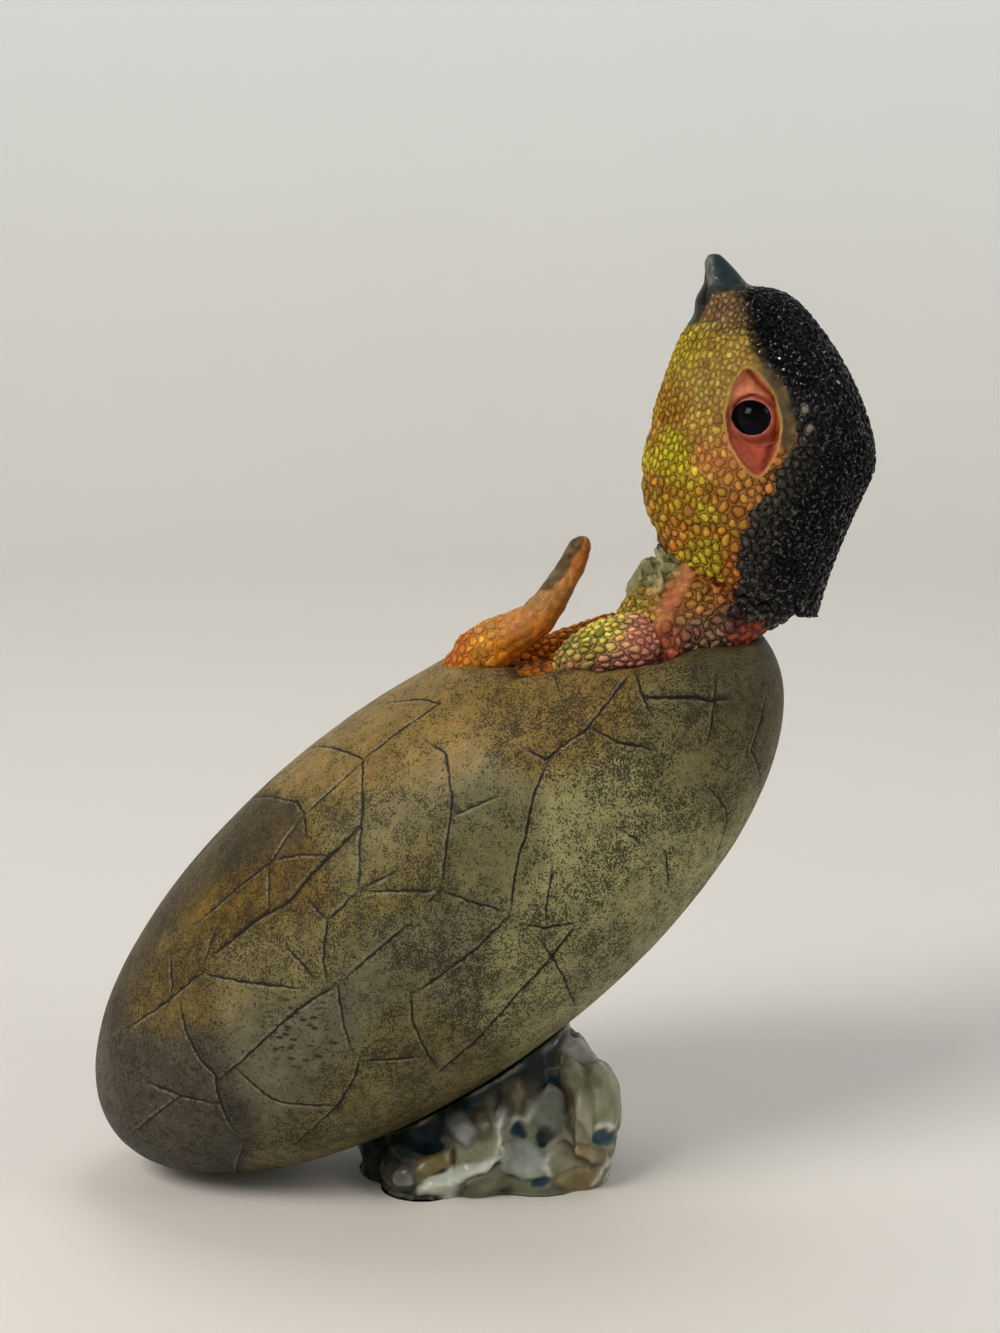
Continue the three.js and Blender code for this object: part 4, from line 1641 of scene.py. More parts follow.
TAIL_DABS = (
    Dab("tail root", (452, 645), 14, (0.54, 0.205, 0.032), (0.32, 0.074, 0.009), 1.8, 0.3),
    Dab("pale root", (490, 620), 11, (0.68, 0.38, 0.105), (0.41, 0.12, 0.018), 2.0, 0.24),
    Dab("olive root", (482, 648), 8, (0.66, 0.36, 0.06), (0.42, 0.16, 0.022), 2.0, 0.22),
    Dab("underside root", (505, 655), 13, (0.76, 0.29, 0.027), (0.56, 0.185, 0.015), 2.8, 0.12),
    Dab("tail middle", (512, 622), 11, (0.5, 0.235, 0.083), (0.33, 0.086, 0.022), 2.2, 0.18),
    Dab("tail bend", (537, 600), 10, (0.35, 0.2, 0.078), (0.25, 0.084, 0.024), 2.4, 0.16),
    Dab("underside", (545, 630), 11, (0.7, 0.26, 0.036), (0.49, 0.165, 0.017), 2.8, 0.1),
    Dab("upper tail", (560, 590), 10, (0.55, 0.26, 0.082), (0.38, 0.14, 0.034), 2.6, 0.14),
    Dab("tail tip", (586, 548), 10, (0.52, 0.2, 0.057), (0.4, 0.135, 0.036), 3.0, 0.08),
)


@dataclass
class Tail(SkinPiece):
    """The raised tail, with a grey stripe along its back towards the tip."""

    stripe: Line = ((546, 583), (554, 572), (566, 555), (577, 536))
    stripe_edge: Span = (7.5, 10.5)
    stripe_share: float = 0.92
    stripe_colour: Colour = (0.104, 0.086, 0.046)
    stripe_wander: Span = (2.6, 3.0)
    stripe_worn: Span = (0.8, 1.2)
    smooth_share: float = 0.6
    smooth_over: Span = (480.0, 525.0)
    wrinkles: Span = (0.22, 3.6)
    inset: float = 0.12
    lean: float = 0.09
    lean_from: float = 108.0

    def bare(self, pixels: Array, points: Array) -> Array:
        """The tail is smooth past its root, and wholly along the stripe."""
        smooth = self.smooth_share * rising(pixels[:, 0], *self.smooth_over)
        return np.maximum(smooth, self.striped(pixels, points))

    def striped(self, pixels: Array, points: Array) -> Array:
        """How much of the stripe's paint lies at each vertex."""
        gap = to_line(warped(pixels, points, *self.stripe_wander), self.stripe)
        return self.stripe_share * falling(gap, *self.stripe_edge)

    def fold(self, surface: Surface) -> None:
        """Wrinkles the tail."""
        surface.push(waves(surface.points, *self.wrinkles) - self.inset)
        surface.points[:, 0] += self.lean * np.maximum(surface.points[:, 2] - self.lean_from, 0.0)

    def overpaint(self, colours: Array, surface: Surface, pixels: Array) -> Array:
        """Greys the stripe, with the paint broken at its edges."""
        grey = np.array(self.stripe_colour) * (1.0 + waves(surface.points, *self.stripe_worn))[:, None]
        return mixed(colours, grey, self.striped(pixels, surface.points))


@dataclass
class Forearm(SkinPiece):
    """A forearm on the egg's rim, let out to meet the neck, with its wrist drawn out along the rim."""

    let_out: float = 0.45
    wrist_from: float = 0.0
    wrist_draw: float = 0.0
    wrist_lift: float = 0.0
    shoulder_from: float = 90.0
    shoulder_long: float = 6.0
    shoulder_full: float = 0.0

    def fold(self, surface: Surface) -> None:
        """Lets the forearm out, more so at the shoulder, and draws its wrist out.

        Args:
            surface: The forearm's surface.
        """
        shoulder = rising(surface.points[:, 0], self.shoulder_from,
                          self.shoulder_from + self.shoulder_long)
        surface.push(self.let_out + self.shoulder_full * shoulder)
        short = np.maximum(self.wrist_from - surface.points[:, 0], 0.0)
        surface.points[:, 0] -= self.wrist_draw * short
        surface.points[:, 2] += self.wrist_lift * short


LEFT_ARM_DABS = (
    Dab("lime forearm", (602, 632), 12, (0.72, 0.62, 0.125), (0.018, 0.015, 0.005), 1.5, 0.66),
    Dab("lime wrist", (580, 650), 12, (0.45, 0.35, 0.095), (0.016, 0.014, 0.005), 1.5, 0.66),
    Dab("plum elbow", (636, 648), 13, (0.66, 0.3, 0.2), (0.15, 0.042, 0.036), 1.5, 0.32),
    Dab("plum fold", (612, 662), 9, (0.66, 0.33, 0.22), (0.12, 0.04, 0.034), 1.5, 0.35),
    Dab("pink rim", (578, 671), 8, (0.68, 0.29, 0.18), (0.36, 0.125, 0.08), 2.8, 0.18),
)
RIGHT_ARM_DABS = (
    Dab("orange forearm", (545, 650), 18, (0.85, 0.31, 0.026), (0.17, 0.036, 0.004), 1.8, 0.5),
    Dab("amber elbow", (575, 630), 12, (0.82, 0.4, 0.052), (0.17, 0.05, 0.006), 1.8, 0.5),
)


@dataclass
class EyeBead(Piece):
    """A glass bead for an eye, with a slightly drawn-out front, in millimetres."""

    side: Side
    segments: int = 64
    rings: int = 40
    bulge: float = 0.12
    bulge_over: Span = (0.6, 1.0)

    def build(self) -> None:
        """Models the bead in its socket and dresses it."""
        low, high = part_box(self.node)
        middle = (low + high) / 2
        radius = (high.z - low.z) / 2
        bpy.ops.object.select_all(action="DESELECT")
        bpy.ops.mesh.primitive_uv_sphere_add(
            segments=self.segments, ring_count=self.rings, radius=radius, location=middle,
            rotation=(math.pi / 2, 0.0, 0.0),
        )
        bead = bpy.context.object
        bead.name = self.name
        bpy.ops.object.transform_apply(location=True, rotation=True, scale=True)
        surface = Surface(bead)
        outwards = (surface.points[:, 1] - middle.y / MM) * self.side.value / (radius / MM)
        surface.push(self.bulge * (rising(outwards, *self.bulge_over) - 1.0))
        surface.write()
        surface.store(ring=np.clip(1.0 - outwards, 0.0, 1.0))
        self.dress(bead, BeadGlass().material(), Slot.EYE)


# Egg


@dataclass(frozen=True)
class EggForm:
    """The egg's spheroid and its mouth, with the sizes of the part, in millimetres."""

    length: float = 152.0
    diameter: float = 69.4
    tilt: float = math.radians(38.3)
    middle_x: float = -10.1
    toe: float = 0.3
    wall: float = 3.2
    mouth_over_tip: float = 0.6
    mouth_slope: float = math.radians(5.5)

    def frame(self) -> tuple[Array, Array, Array]:
        """Works out how the egg lies.

        Returns:
            Its middle, its long axis and the axis across it in the profile.
        """
        sine, cosine = math.sin(self.tilt), math.cos(self.tilt)
        drop = math.hypot(self.length / 2 * sine, self.diameter / 2 * cosine)
        middle = np.array((self.middle_x, 0.0, drop + self.toe))
        return middle, np.array((cosine, 0.0, sine)), np.array((-sine, 0.0, cosine))

    def stretched(self, inset: float) -> Array:
        """Stretches the unit sphere to the spheroid.

        Args:
            inset: How far inside the shell's outside it lies.

        Returns:
            The matrix.
        """
        _, axis, aside = self.frame()
        radius = self.diameter / 2 - inset
        across = np.array((0.0, 1.0, 0.0))
        return np.column_stack((aside * radius, across * radius, axis * (self.length / 2 - inset)))

    def real(self, units: Array, inset: float = 0.0) -> Array:
        """Points of the unit sphere on the spheroid."""
        return self.frame()[0] + units @ self.stretched(inset).T

    def unit(self, points: Array, inset: float = 0.0) -> Array:
        """Points of the spheroid on the unit sphere."""
        rows = np.linalg.solve(self.stretched(inset), (points - self.frame()[0]).T).T
        return rows / np.linalg.norm(rows, axis=1, keepdims=True)

    def over(self, points: Array) -> Array:
        """Measures how far points near the spheroid lie outside it.

        Args:
            points: The points.

        Returns:
            The distance of each point in millimetres.
        """
        inverse = np.linalg.inv(self.stretched(0.0))
        rows = (points - self.frame()[0]) @ inverse.T
        return (np.sum(rows * rows, axis=1) - 1.0) / (2.0 * np.linalg.norm(rows @ inverse, axis=1))

    def seen(self, pixels: Array) -> Array:
        """The unit-sphere points that the photograph's camera sees at pixels.

        Args:
            pixels: Places in the photograph, on the egg.

        Returns:
            One point of the unit sphere for each pixel.
        """
        inverse = np.linalg.inv(self.stretched(0.0))
        start = inverse @ (np.array(PHOTO.place) - self.frame()[0])
        rays = PHOTO.rays(pixels) @ inverse.T
        square = np.sum(rays * rays, axis=1)
        linear = rays @ start
        rest = start @ start - 1.0
        root = np.sqrt(np.maximum(linear ** 2 - square * rest, 0.0))
        hits = start + rays * ((-linear - root) / square)[:, None]
        return hits / np.linalg.norm(hits, axis=1, keepdims=True)

    def mouth(self, inset: float) -> tuple[Array, float, float]:
        """The mouth's plane as the unit sphere sees it.

        Args:
            inset: How far inside the shell the sphere lies.

        Returns:
            The plane's normal, its distance from the middle, and the millimetres of one unit along the
            normal.
        """
        middle, axis, _ = self.frame()
        over = middle + axis * self.length / 2 + np.array((0.0, 0.0, self.mouth_over_tip))
        normal = np.array((-math.sin(self.mouth_slope), 0.0, math.cos(self.mouth_slope)))
        drawn = self.stretched(inset).T @ normal
        size = np.linalg.norm(drawn)
        return drawn / size, float(normal @ (over - middle)) / size, size


EGG = EggForm()
SHELL_DABS = (
    Dab("grey plate", (492, 830), 34, (0.174, 0.154, 0.069), (0.04, 0.032, 0.014), depth=0.06),
    Dab("brown plate", (408, 840), 34, (0.187, 0.152, 0.048), (0.037, 0.027, 0.01), depth=0.11),
    Dab("plum plate", (452, 935), 30, (0.167, 0.149, 0.075), (0.029, 0.023, 0.013), depth=0.13),
    Dab("belly back", (630, 830), 55, (0.335, 0.306, 0.142), (0.034, 0.026, 0.011), depth=0.1),
    Dab("right plate", (690, 760), 40, (0.174, 0.142, 0.058), (0.027, 0.02, 0.008), depth=0.12),
    Dab("tip", (755, 690), 30, (0.105, 0.082, 0.031), (0.029, 0.022, 0.008), depth=0.1),
    Dab("mouth rim", (560, 710), 40, (0.234, 0.149, 0.03), (0.034, 0.024, 0.008), depth=0.13),
    Dab("shoulder", (400, 725), 40, (0.28, 0.185, 0.054), (0.056, 0.037, 0.012), depth=0.07),
    Dab("ochre flank", (250, 895), 32, (0.163, 0.098, 0.006), (0.032, 0.019, 0.003), depth=0.12),
    Dab("rust end", (160, 985), 28, (0.162, 0.113, 0.025), (0.032, 0.021, 0.006), depth=0.12),
    Dab("tan flank", (275, 965), 32, (0.21, 0.172, 0.068), (0.038, 0.029, 0.01), depth=0.11),
    Dab("grey flank", (310, 1035), 34, (0.142, 0.132, 0.078), (0.048, 0.043, 0.024), depth=0.03),
    Dab("grey end", (155, 1090), 36, (0.078, 0.068, 0.044), (0.022, 0.018, 0.012), depth=0.12),
    Dab("underside", (400, 1110), 45, (0.19, 0.155, 0.058), (0.034, 0.025, 0.009), depth=0.15),
    Dab("keel", (570, 960), 45, (0.306, 0.282, 0.134), (0.035, 0.026, 0.01), depth=0.12),
)
HAIRLINES: tuple[Line, ...] = (
    ((308, 747), (362, 758), (362, 809), (359, 891)),
    ((362, 758), (439, 702), (419, 698), (385, 702)),
    ((359, 763), (303, 816)),
    ((301, 816), (271, 860), (196, 923)),
    ((271, 860), (298, 854), (330, 855)),
    ((269, 862), (268, 908)),
    ((359, 891), (327, 920), (323, 961), (327, 983)),
    ((359, 891), (429, 891), (441, 887)),
    ((361, 890), (395, 871)),
    ((426, 741), (446, 754), (452, 799), (446, 850), (441, 887)),
    ((441, 889), (424, 908)),
    ((305, 896), (327, 920)),
    ((284, 942), (315, 980)),
    ((202, 972), (243, 982), (304, 988)),
    ((202, 972), (164, 1002), (128, 1028)),
    ((218, 923), (203, 964)),
    ((412, 922), (346, 977)),
    ((170, 954), (171, 987), (168, 1002)),
    ((452, 816), (497, 796)),
    ((520, 745), (547, 760), (558, 748), (584, 732), (632, 671)),
    ((547, 760), (533, 799), (525, 837), (515, 875), (510, 913)),
    ((591, 727), (617, 742), (655, 750)),
    ((632, 668), (645, 699), (654, 718)),
    ((716, 676), (716, 702), (706, 748)),
    ((553, 671), (559, 689)),
    ((767, 697), (752, 750), (761, 778)),
    ((710, 788), (729, 819), (716, 860)),
    ((665, 850), (669, 888)),
    ((619, 829), (645, 845)),
    ((553, 862), (547, 906), (547, 926)),
    ((441, 890), (474, 903), (510, 913)),
    ((510, 916), (471, 954), (413, 995)),
    ((520, 924), (545, 929), (584, 922)),
    ((538, 939), (553, 958), (573, 1000)),
    ((564, 980), (576, 1007)),
    ((338, 984), (297, 1010), (246, 1058), (219, 1080)),
    ((327, 983), (338, 984), (343, 1022), (353, 1053)),
    ((179, 1000), (187, 1038), (215, 1076), (220, 1104), (236, 1132)),
    ((236, 1068), (279, 1103), (338, 1107)),
    ((361, 1058), (355, 1079), (338, 1107), (292, 1147)),
    ((363, 1062), (424, 1057)),
    ((411, 993), (413, 1022), (421, 1041), (437, 1067)),
    ((144, 1080), (180, 1096), (220, 1105)),
    ((180, 1096), (134, 1133)),
    ((245, 1145), (241, 1175)),
    ((247, 798), (264, 795), (297, 801), (304, 815), (306, 838)),
)
DEEP_CRACKS: tuple[Line, ...] = (
    ((359, 826), (322, 862), (288, 901), (254, 920), (216, 952)),
    ((647, 697), (711, 700), (727, 699)),
    ((573, 931), (553, 958), (517, 998), (484, 1035), (441, 1073)),
)


@dataclass
class CrackNet:
    """Cracks over the egg as close points, with the groove's depth and width at each, in millimetres."""

    step: float = 0.12
    meander: Span = (0.22, 2.2)
    meander_apart: Triple = (0.0, 37.0, 91.0)
    taper: float = 4.0
    tip: float = 0.35
    hair: Span = (0.24, 0.28)
    deep: Span = (0.5, 0.36)

    def __post_init__(self) -> None:
        """Lays the cracks on the near side and, turned half round the egg's axis, on the far side."""
        rows = [self.laid(line, *self.hair) for line in HAIRLINES]
        rows += [self.laid(line, *self.deep) for line in DEEP_CRACKS]
        near = np.concatenate(rows)
        turned = np.array((-1.0, -1.0, 1.0, -1.0, -1.0, 1.0, 1.0, 1.0))
        both = np.concatenate((near, near * turned))
        points = EGG.real(both[:, :3])
        layers = [points + np.array((apart, 0.0, 0.0)) for apart in self.meander_apart]
        shift = np.column_stack([waves(layer, *self.meander) for layer in layers])
        self.points = EGG.real(EGG.unit(points + shift))
        self.aside = both[:, 3:6] @ EGG.stretched(0.0).T
        self.aside /= np.linalg.norm(self.aside, axis=1, keepdims=True)
        self.depth, self.width = both[:, 6], both[:, 7]
        self.tree = tree_of(self.points)

    def laid(self, line: Line, depth: float, width: float) -> Array:
        """One crack as close points of the unit sphere.

        Args:
            line: The crack's corners in the photograph.
            depth: The groove's depth.
            width: The groove's half width.

        Returns:
            Rows of a unit-sphere point, the direction across the crack, the depth and the width there.
        """
        corners = EGG.seen(np.array(line, float))
        rows = []
        for start, stop in zip(corners[:-1], corners[1:]):
            length = np.linalg.norm(EGG.real(stop[None]) - EGG.real(start[None]))
            shares = np.linspace(0.0, 1.0, max(2, int(length / self.step)))
            units = start + shares[:, None] * (stop - start)
            across = np.cross(units, stop - start)
            across *= 1.0 if across[0, 2] < 0.0 else -1.0
            rows.append(np.column_stack((units, across)))
        laid = np.concatenate(rows)
        laid[:, :3] /= np.linalg.norm(laid[:, :3], axis=1, keepdims=True)
        along = np.arange(len(laid)) * self.step
        fade = self.tip + (1.0 - self.tip) * rising(np.minimum(along, along[::-1]), 0.0, self.taper)
        return np.column_stack((laid, depth * fade, np.full(len(laid), width)))

    def nearest(self, points: Array) -> tuple[Array, Array]:
        """The index and the distance of the nearest crack point to each vertex."""
        found = [self.tree.find(spot) for spot in points]
        return np.array([hit[1] for hit in found]), np.array([hit[2] for hit in found])


@dataclass
class EggShell(Piece):
    """The cracked egg: a spheroid's outer and inner wall joined round a broken rim, in millimetres."""

    node: str = "egg_shell"
    name: str = "cracked_egg"
    columns: int = 208
    rows: int = 112
    inner_rows: int = 26
    inset: float = 0.12
    rim_lift: float = 0.25
    rim_drop: float = 0.15
    chips: Span = (0.3, 0.22)
    bands: Span = (1.5, 0.85)
    near_rim: tuple[Span, ...] = (
        (0.0, 0.1), (0.1, 0.2), (0.2, -0.9), (0.34, 0.3),
        (0.47, -0.7), (0.66, -0.3), (0.83, 1.1), (1.0, 0.0),
    )
    far_rim: tuple[Span, ...] = (
        (0.0, 0.1), (0.11, -0.4), (0.21, -1.6), (0.34, -2.8),
        (0.46, -1.7), (0.62, -0.7), (0.82, 0.7), (1.0, 0.0),
    )
    # A dark patch down the egg's left outline: a stain with a sharp edge at its top, and darker along the
    # outline below it with stain and painted shade
    stained_and_shaded: Line = (
        (248, 797), (264, 795), (297, 801), (304, 815), (306, 838), (266, 858), (207, 885), (168, 928),
        (137, 979), (112, 1034), (60, 1050), (60, 760),
    )
    stained_and_shaded_colour: Colour = (0.086, 0.054, 0.016)
    stained_and_shaded_stain: Colour = (0.026, 0.021, 0.015)
    stained_and_shaded_share: float = 0.9
    stained_and_shaded_wander: Span = (5.0, 7.0)
    stained_and_shaded_edge: float = 9.0
    stained_and_shaded_sharp_over: float = 841.0
    stained_and_shaded_sharp: float = 5.0
    dashes: Pixel = (305, 1030)
    dashes_over: Span = (25.2, 58.8)
    swells: Span = (0.12, 14.0)
    lip_high: float = 0.1
    lip_out: float = 1.8
    lip_wide: float = 0.3
    lip_deep: float = 0.3
    lip_reach: float = 1.0
    sunk: float = 0.05
    snug: float = 0.25
    rim_free: float = 0.3
    wander: Span = (9.0, 12.0)
    blend: float = 1.6
    drawn_width: float = 0.24
    drawn_reach: float = 2.0
    crack_reach: float = 0.8
    crack_deep: float = 0.2

    def rim_angles(self, turn: Array, inset: float) -> Array:
        """The polar angle of the broken rim round the mouth's normal.

        Args:
            turn: The angles round the mouth from its tip end, the far side first.
            inset: How far inside the shell the wall lies.

        Returns:
            One polar angle for each turn.
        """
        _, distance, size = EGG.mouth(inset)
        share = 0.5 + 0.5 * np.cos(turn)
        near, far = (np.interp(share, *zip(*rim)) for rim in (self.near_rim, self.far_rim))
        broken = np.where(np.sin(turn) < 0.0, near, far)
        ring = np.column_stack((np.cos(turn), np.sin(turn), np.zeros(len(turn))))
        broken = broken + waves(ring, *self.chips) - self.chips[0]
        return np.arccos(distance + broken * math.cos(EGG.mouth_slope) / size)

    def wall(self, rows: int, inset: float) -> Array:
        """Lays a wall of the egg from its rim to the bottom.

        Args:
            rows: How many rings it has.
            inset: How far inside the shell's outside it lies.

        Returns:
            The rings of points.
        """
        normal, _, _ = EGG.mouth(inset)
        tip = np.array((-normal[2], 0.0, normal[0]))
        across = np.array((0.0, 1.0, 0.0))
        turn = np.linspace(0.0, 2.0 * math.pi, self.columns, endpoint=False)
        rim = self.rim_angles(turn, inset)
        if EGG.real(tip[None])[0, 0] < EGG.frame()[0][0]:
            tip = -tip
        spread = np.cos(turn)[:, None] * tip + np.sin(turn)[:, None] * across
        rings = []
        for share in np.linspace(0.0, 1.0, rows + 1)[:-1]:
            angle = rim + (math.pi - rim) * share
            units = np.cos(angle)[:, None] * normal + np.sin(angle)[:, None] * spread
            rings.append(EGG.real(units, inset))
        return np.array(rings)

    def mesh(self) -> Object:
        """Joins the two walls round the rim into one closed mesh.

        Returns:
            The new object.
        """
        outer = self.wall(self.rows, self.inset)
        inner = self.wall(self.inner_rows, EGG.wall)
        lip = 0.5 * (outer[0] + inner[0]) + np.array((0.0, 0.0, self.rim_lift))
        outer[0, :, 2] -= self.rim_drop
        rings = [*inner[::-1], lip, *outer]
        bottoms = [EGG.real(-EGG.mouth(inset)[0][None], inset)[0] for inset in (EGG.wall, self.inset)]
        points = np.concatenate([*rings, np.array(bottoms)])
        here = np.arange(self.columns)
        after = (here + 1) % self.columns
        starts = [row * self.columns for row in range(len(rings))]
        faces: list[list[int]] = []
        for row, below in zip(starts[:-1], starts[1:]):
            faces += np.column_stack((row + here, row + after, below + after, below + here)).tolist()
        for first, second in zip(here.tolist(), after.tolist()):
            faces.append([second, first, len(points) - 2])
            faces.append([starts[-1] + first, starts[-1] + second, len(points) - 1])
        mesh = bpy.data.meshes.new(self.name)
        mesh.from_pydata((points * MM).tolist(), [], faces)
        egg = placed(self.name, mesh)
        make_active(egg)
        switch("EDIT")
        bpy.ops.mesh.select_all(action="SELECT")
        bpy.ops.mesh.normals_make_consistent(inside=False)
        switch("OBJECT")
        return egg

    def refine(self, egg: Object, cracks: CrackNet, band: float) -> None:
        """Subdivides the outer wall's faces that lie within a band of a crack.

        Args:
            egg: The egg.
            cracks: Its cracks.
            band: The distance in millimetres.
        """
        mesh = egg.data
        _, gaps = cracks.nearest(rows_of(mesh.polygons, "center") / MM)
        make_active(egg)
        switch("EDIT")
        bpy.ops.mesh.select_mode(type="FACE")
        bpy.ops.mesh.select_all(action="DESELECT")
        switch("OBJECT")
        mesh.polygons.foreach_set("select", gaps < band)
        switch("EDIT")
        bpy.ops.mesh.subdivide(number_cuts=1, ngon=False)
        switch("OBJECT")

    def build(self) -> None:
        """Models the egg, cracks it, paints it and dresses it."""
        egg = self.mesh()
        cracks = CrackNet()
        for band in self.bands:
            self.refine(egg, cracks, band)
        surface = Surface(egg)
        self.crack(surface, cracks)
        surface.write()
        self.dress(egg, ShellPaint().material(), Slot.SHELL)

    def crack(self, surface: Surface, cracks: CrackNet) -> None:
        """Cuts the cracks into the outer wall and stores where they and their lips are.

        Args:
            surface: The egg's surface.
            cracks: Its cracks.
        """
        points = surface.points
        units = EGG.unit(points)
        skin = EGG.real(units, self.inset)
        off_skin = np.linalg.norm(points - skin, axis=1)
        off_wall = np.linalg.norm(points - EGG.real(units, EGG.wall), axis=1)
        outer = off_skin < 0.5 * EGG.wall
        snug = outer & (off_wall >= self.rim_free) & (off_skin < self.snug)
        points[snug] = skin[snug]
        index, gap = cracks.nearest(points)
        width = cracks.width[index]
        depth = cracks.depth[index]
        offset = np.sum((points - cracks.points[index]) * cracks.aside[index], axis=1)
        side = np.where(offset < 0.0, -1.0, 1.0)
        swell = waves(points, *self.swells, 3) - self.swells[0]
        lip = np.clip(depth / self.lip_deep, 0.0, 1.0) * bell(offset - self.lip_out * width, self.lip_wide)
        lip *= bell(gap, self.lip_reach)
        cut = swell - depth * bell(gap, width) + self.lip_high * lip - self.sunk
        surface.push(np.where(outer, cut, 0.0))
        pixels = PHOTO.pixels(points)
        painting = blended(warped(pixels, points, *self.wander), SHELL_DABS, self.blend)
        # Darker along the left outline: stain, sharp-edged above the given row, and stain with painted shade
        # below it
        stained_and_shaded = np.where(
            pixels[:, 1] < self.stained_and_shaded_sharp_over,
            within(pixels, self.stained_and_shaded) * self.stained_and_shaded_sharp,
            within(warped(pixels, points, *self.stained_and_shaded_wander), self.stained_and_shaded),
        )
        share = self.stained_and_shaded_share * rising(stained_and_shaded, -self.stained_and_shaded_edge, self.stained_and_shaded_edge)
        surface.store(
            paint=mixed(painting.top, self.stained_and_shaded_colour, share),
            stain=mixed(painting.crease, self.stained_and_shaded_stain, share),
            dirt=painting.depth,
            dash=falling(to_spot(pixels, self.dashes), *self.dashes_over),
            offset=side * np.minimum(gap, self.drawn_reach) * self.drawn_width / width,
            crack=outer * bell(gap, self.crack_reach) * np.clip(depth / self.crack_deep, 0.0, 1.0),
        )


# Rock


@dataclass(frozen=True)
class Lump:
    """A rounded lump of the rock: its middle and half sizes in photograph pixels, its turn there in
    degrees, its colour, and its height in millimetres. A pit has a negative height."""

    name: str
    at: Pixel
    half: Pixel
    turn: float
    colour: Colour
    high: float

    def dome(self, pixels: Array) -> Array:
        """Measures the lump.

        Args:
            pixels: The places.

        Returns:
            Its height at each place.
        """
        cosine, sine = math.cos(math.radians(self.turn)), math.sin(math.radians(self.turn))
        right, down = (pixels - np.array(self.at)).T
        along = (right * cosine + down * sine) / self.half[0]
        across = (down * cosine - right * sine) / self.half[1]
        return self.high * np.sqrt(np.clip(1.0 - along ** 2 - across ** 2, 0.0, 1.0))


# Shaded ground, shaded top, dark foot and blue wedge lie under the egg: blue-black paint with painted shade
# from the egg above
ROCK_LUMPS = (
    Lump("ground", (535, 1150), (140, 52), -6, (0.25, 0.245, 0.165), 1.3),
    Lump("shaded ground", (440, 1118), (72, 32), -38, (0.02, 0.03, 0.034), 1.4),
    Lump("shaded top", (530, 1062), (50, 24), -38, (0.01, 0.017, 0.019), 1.4),
    Lump("boulder", (604, 1098), (30, 54), -6, (0.27, 0.265, 0.16), 2.3),
    Lump("boulder edge", (588, 1102), (18, 52), -12, (0.33, 0.32, 0.225), 2.15),
    Lump("boulder top", (586, 1048), (27, 15), 20, (0.26, 0.25, 0.23), 1.9),
    Lump("heel", (590, 1160), (36, 15), 14, (0.2, 0.15, 0.062), 1.9),
    Lump("sole heel", (584, 1183), (36, 13), -8, (0.23, 0.185, 0.085), 1.5),
    Lump("middle", (526, 1162), (30, 27), 10, (0.3, 0.325, 0.285), 2.1),
    Lump("white slope", (460, 1180), (48, 15), -18, (0.5, 0.53, 0.45), 2.3),
    Lump("olive slope", (432, 1162), (25, 20), 0, (0.2, 0.155, 0.062), 1.7),
    Lump("lilac lump", (460, 1128), (16, 24), -25, (0.2, 0.2, 0.19), 2.3),
    Lump("brown back", (484, 1120), (17, 31), 5, (0.125, 0.105, 0.058), 1.6),
    Lump("brown lump", (515, 1098), (17, 27), 8, (0.12, 0.096, 0.052), 2.1),
    Lump("grey edge", (505, 1108), (8, 32), 3, (0.18, 0.18, 0.165), 1.8),
    Lump("grey middle", (550, 1118), (18, 27), 0, (0.21, 0.215, 0.18), 1.5),
    Lump("amber cheek", (567, 1112), (11, 40), -5, (0.14, 0.1, 0.042), 1.2),
    Lump("grey knob", (400, 1177), (16, 18), 0, (0.11, 0.1, 0.085), 1.9),
    Lump("dark foot", (372, 1165), (26, 27), 0, (0.024, 0.022, 0.017), 1.3),
    Lump("blue wedge", (412, 1130), (27, 14), 30, (0.016, 0.044, 0.056), 0.7),
    Lump("ochre corner", (566, 1054), (10, 8), -35, (0.12, 0.085, 0.026), 1.3),
)
ROCK_PITS = (
    Lump("heel pit", (612, 1141), (14, 10), 0, (0.024, 0.08, 0.12), -1.0),
    Lump("cheek pit", (549, 1086), (14, 11), 20, (0.022, 0.068, 0.1), -1.2),
    Lump("lens pit", (520, 1132), (6, 11), -30, (0.03, 0.085, 0.12), -0.8),
    Lump("dot pit", (542, 1138), (6, 7), 0, (0.018, 0.055, 0.08), -0.8),
    Lump("sole pit", (543, 1187), (12, 6), -20, (0.028, 0.08, 0.11), -0.7),
    Lump("wedge pit", (424, 1143), (18, 6), 28, (0.014, 0.05, 0.075), -0.9),
)
ROCK_CRESTS: tuple[Line, ...] = (
    ((424, 1190), (460, 1181), (498, 1163), (505, 1152)),
    ((500, 1158), (503, 1130), (500, 1108)),
    ((512, 1121), (530, 1121), (538, 1108)),
    ((552, 1180), (547, 1166), (552, 1155)),
    ((597, 1186), (617, 1166)),
    ((602, 1129), (622, 1125)),
)
ROCK_CREASES: tuple[Line, ...] = (
    ((560, 1146), (577, 1164), (602, 1171)),
    ((456, 1193), (504, 1167)),
    ((448, 1150), (450, 1168)),
    ((560, 1075), (562, 1125), (572, 1150)),
)


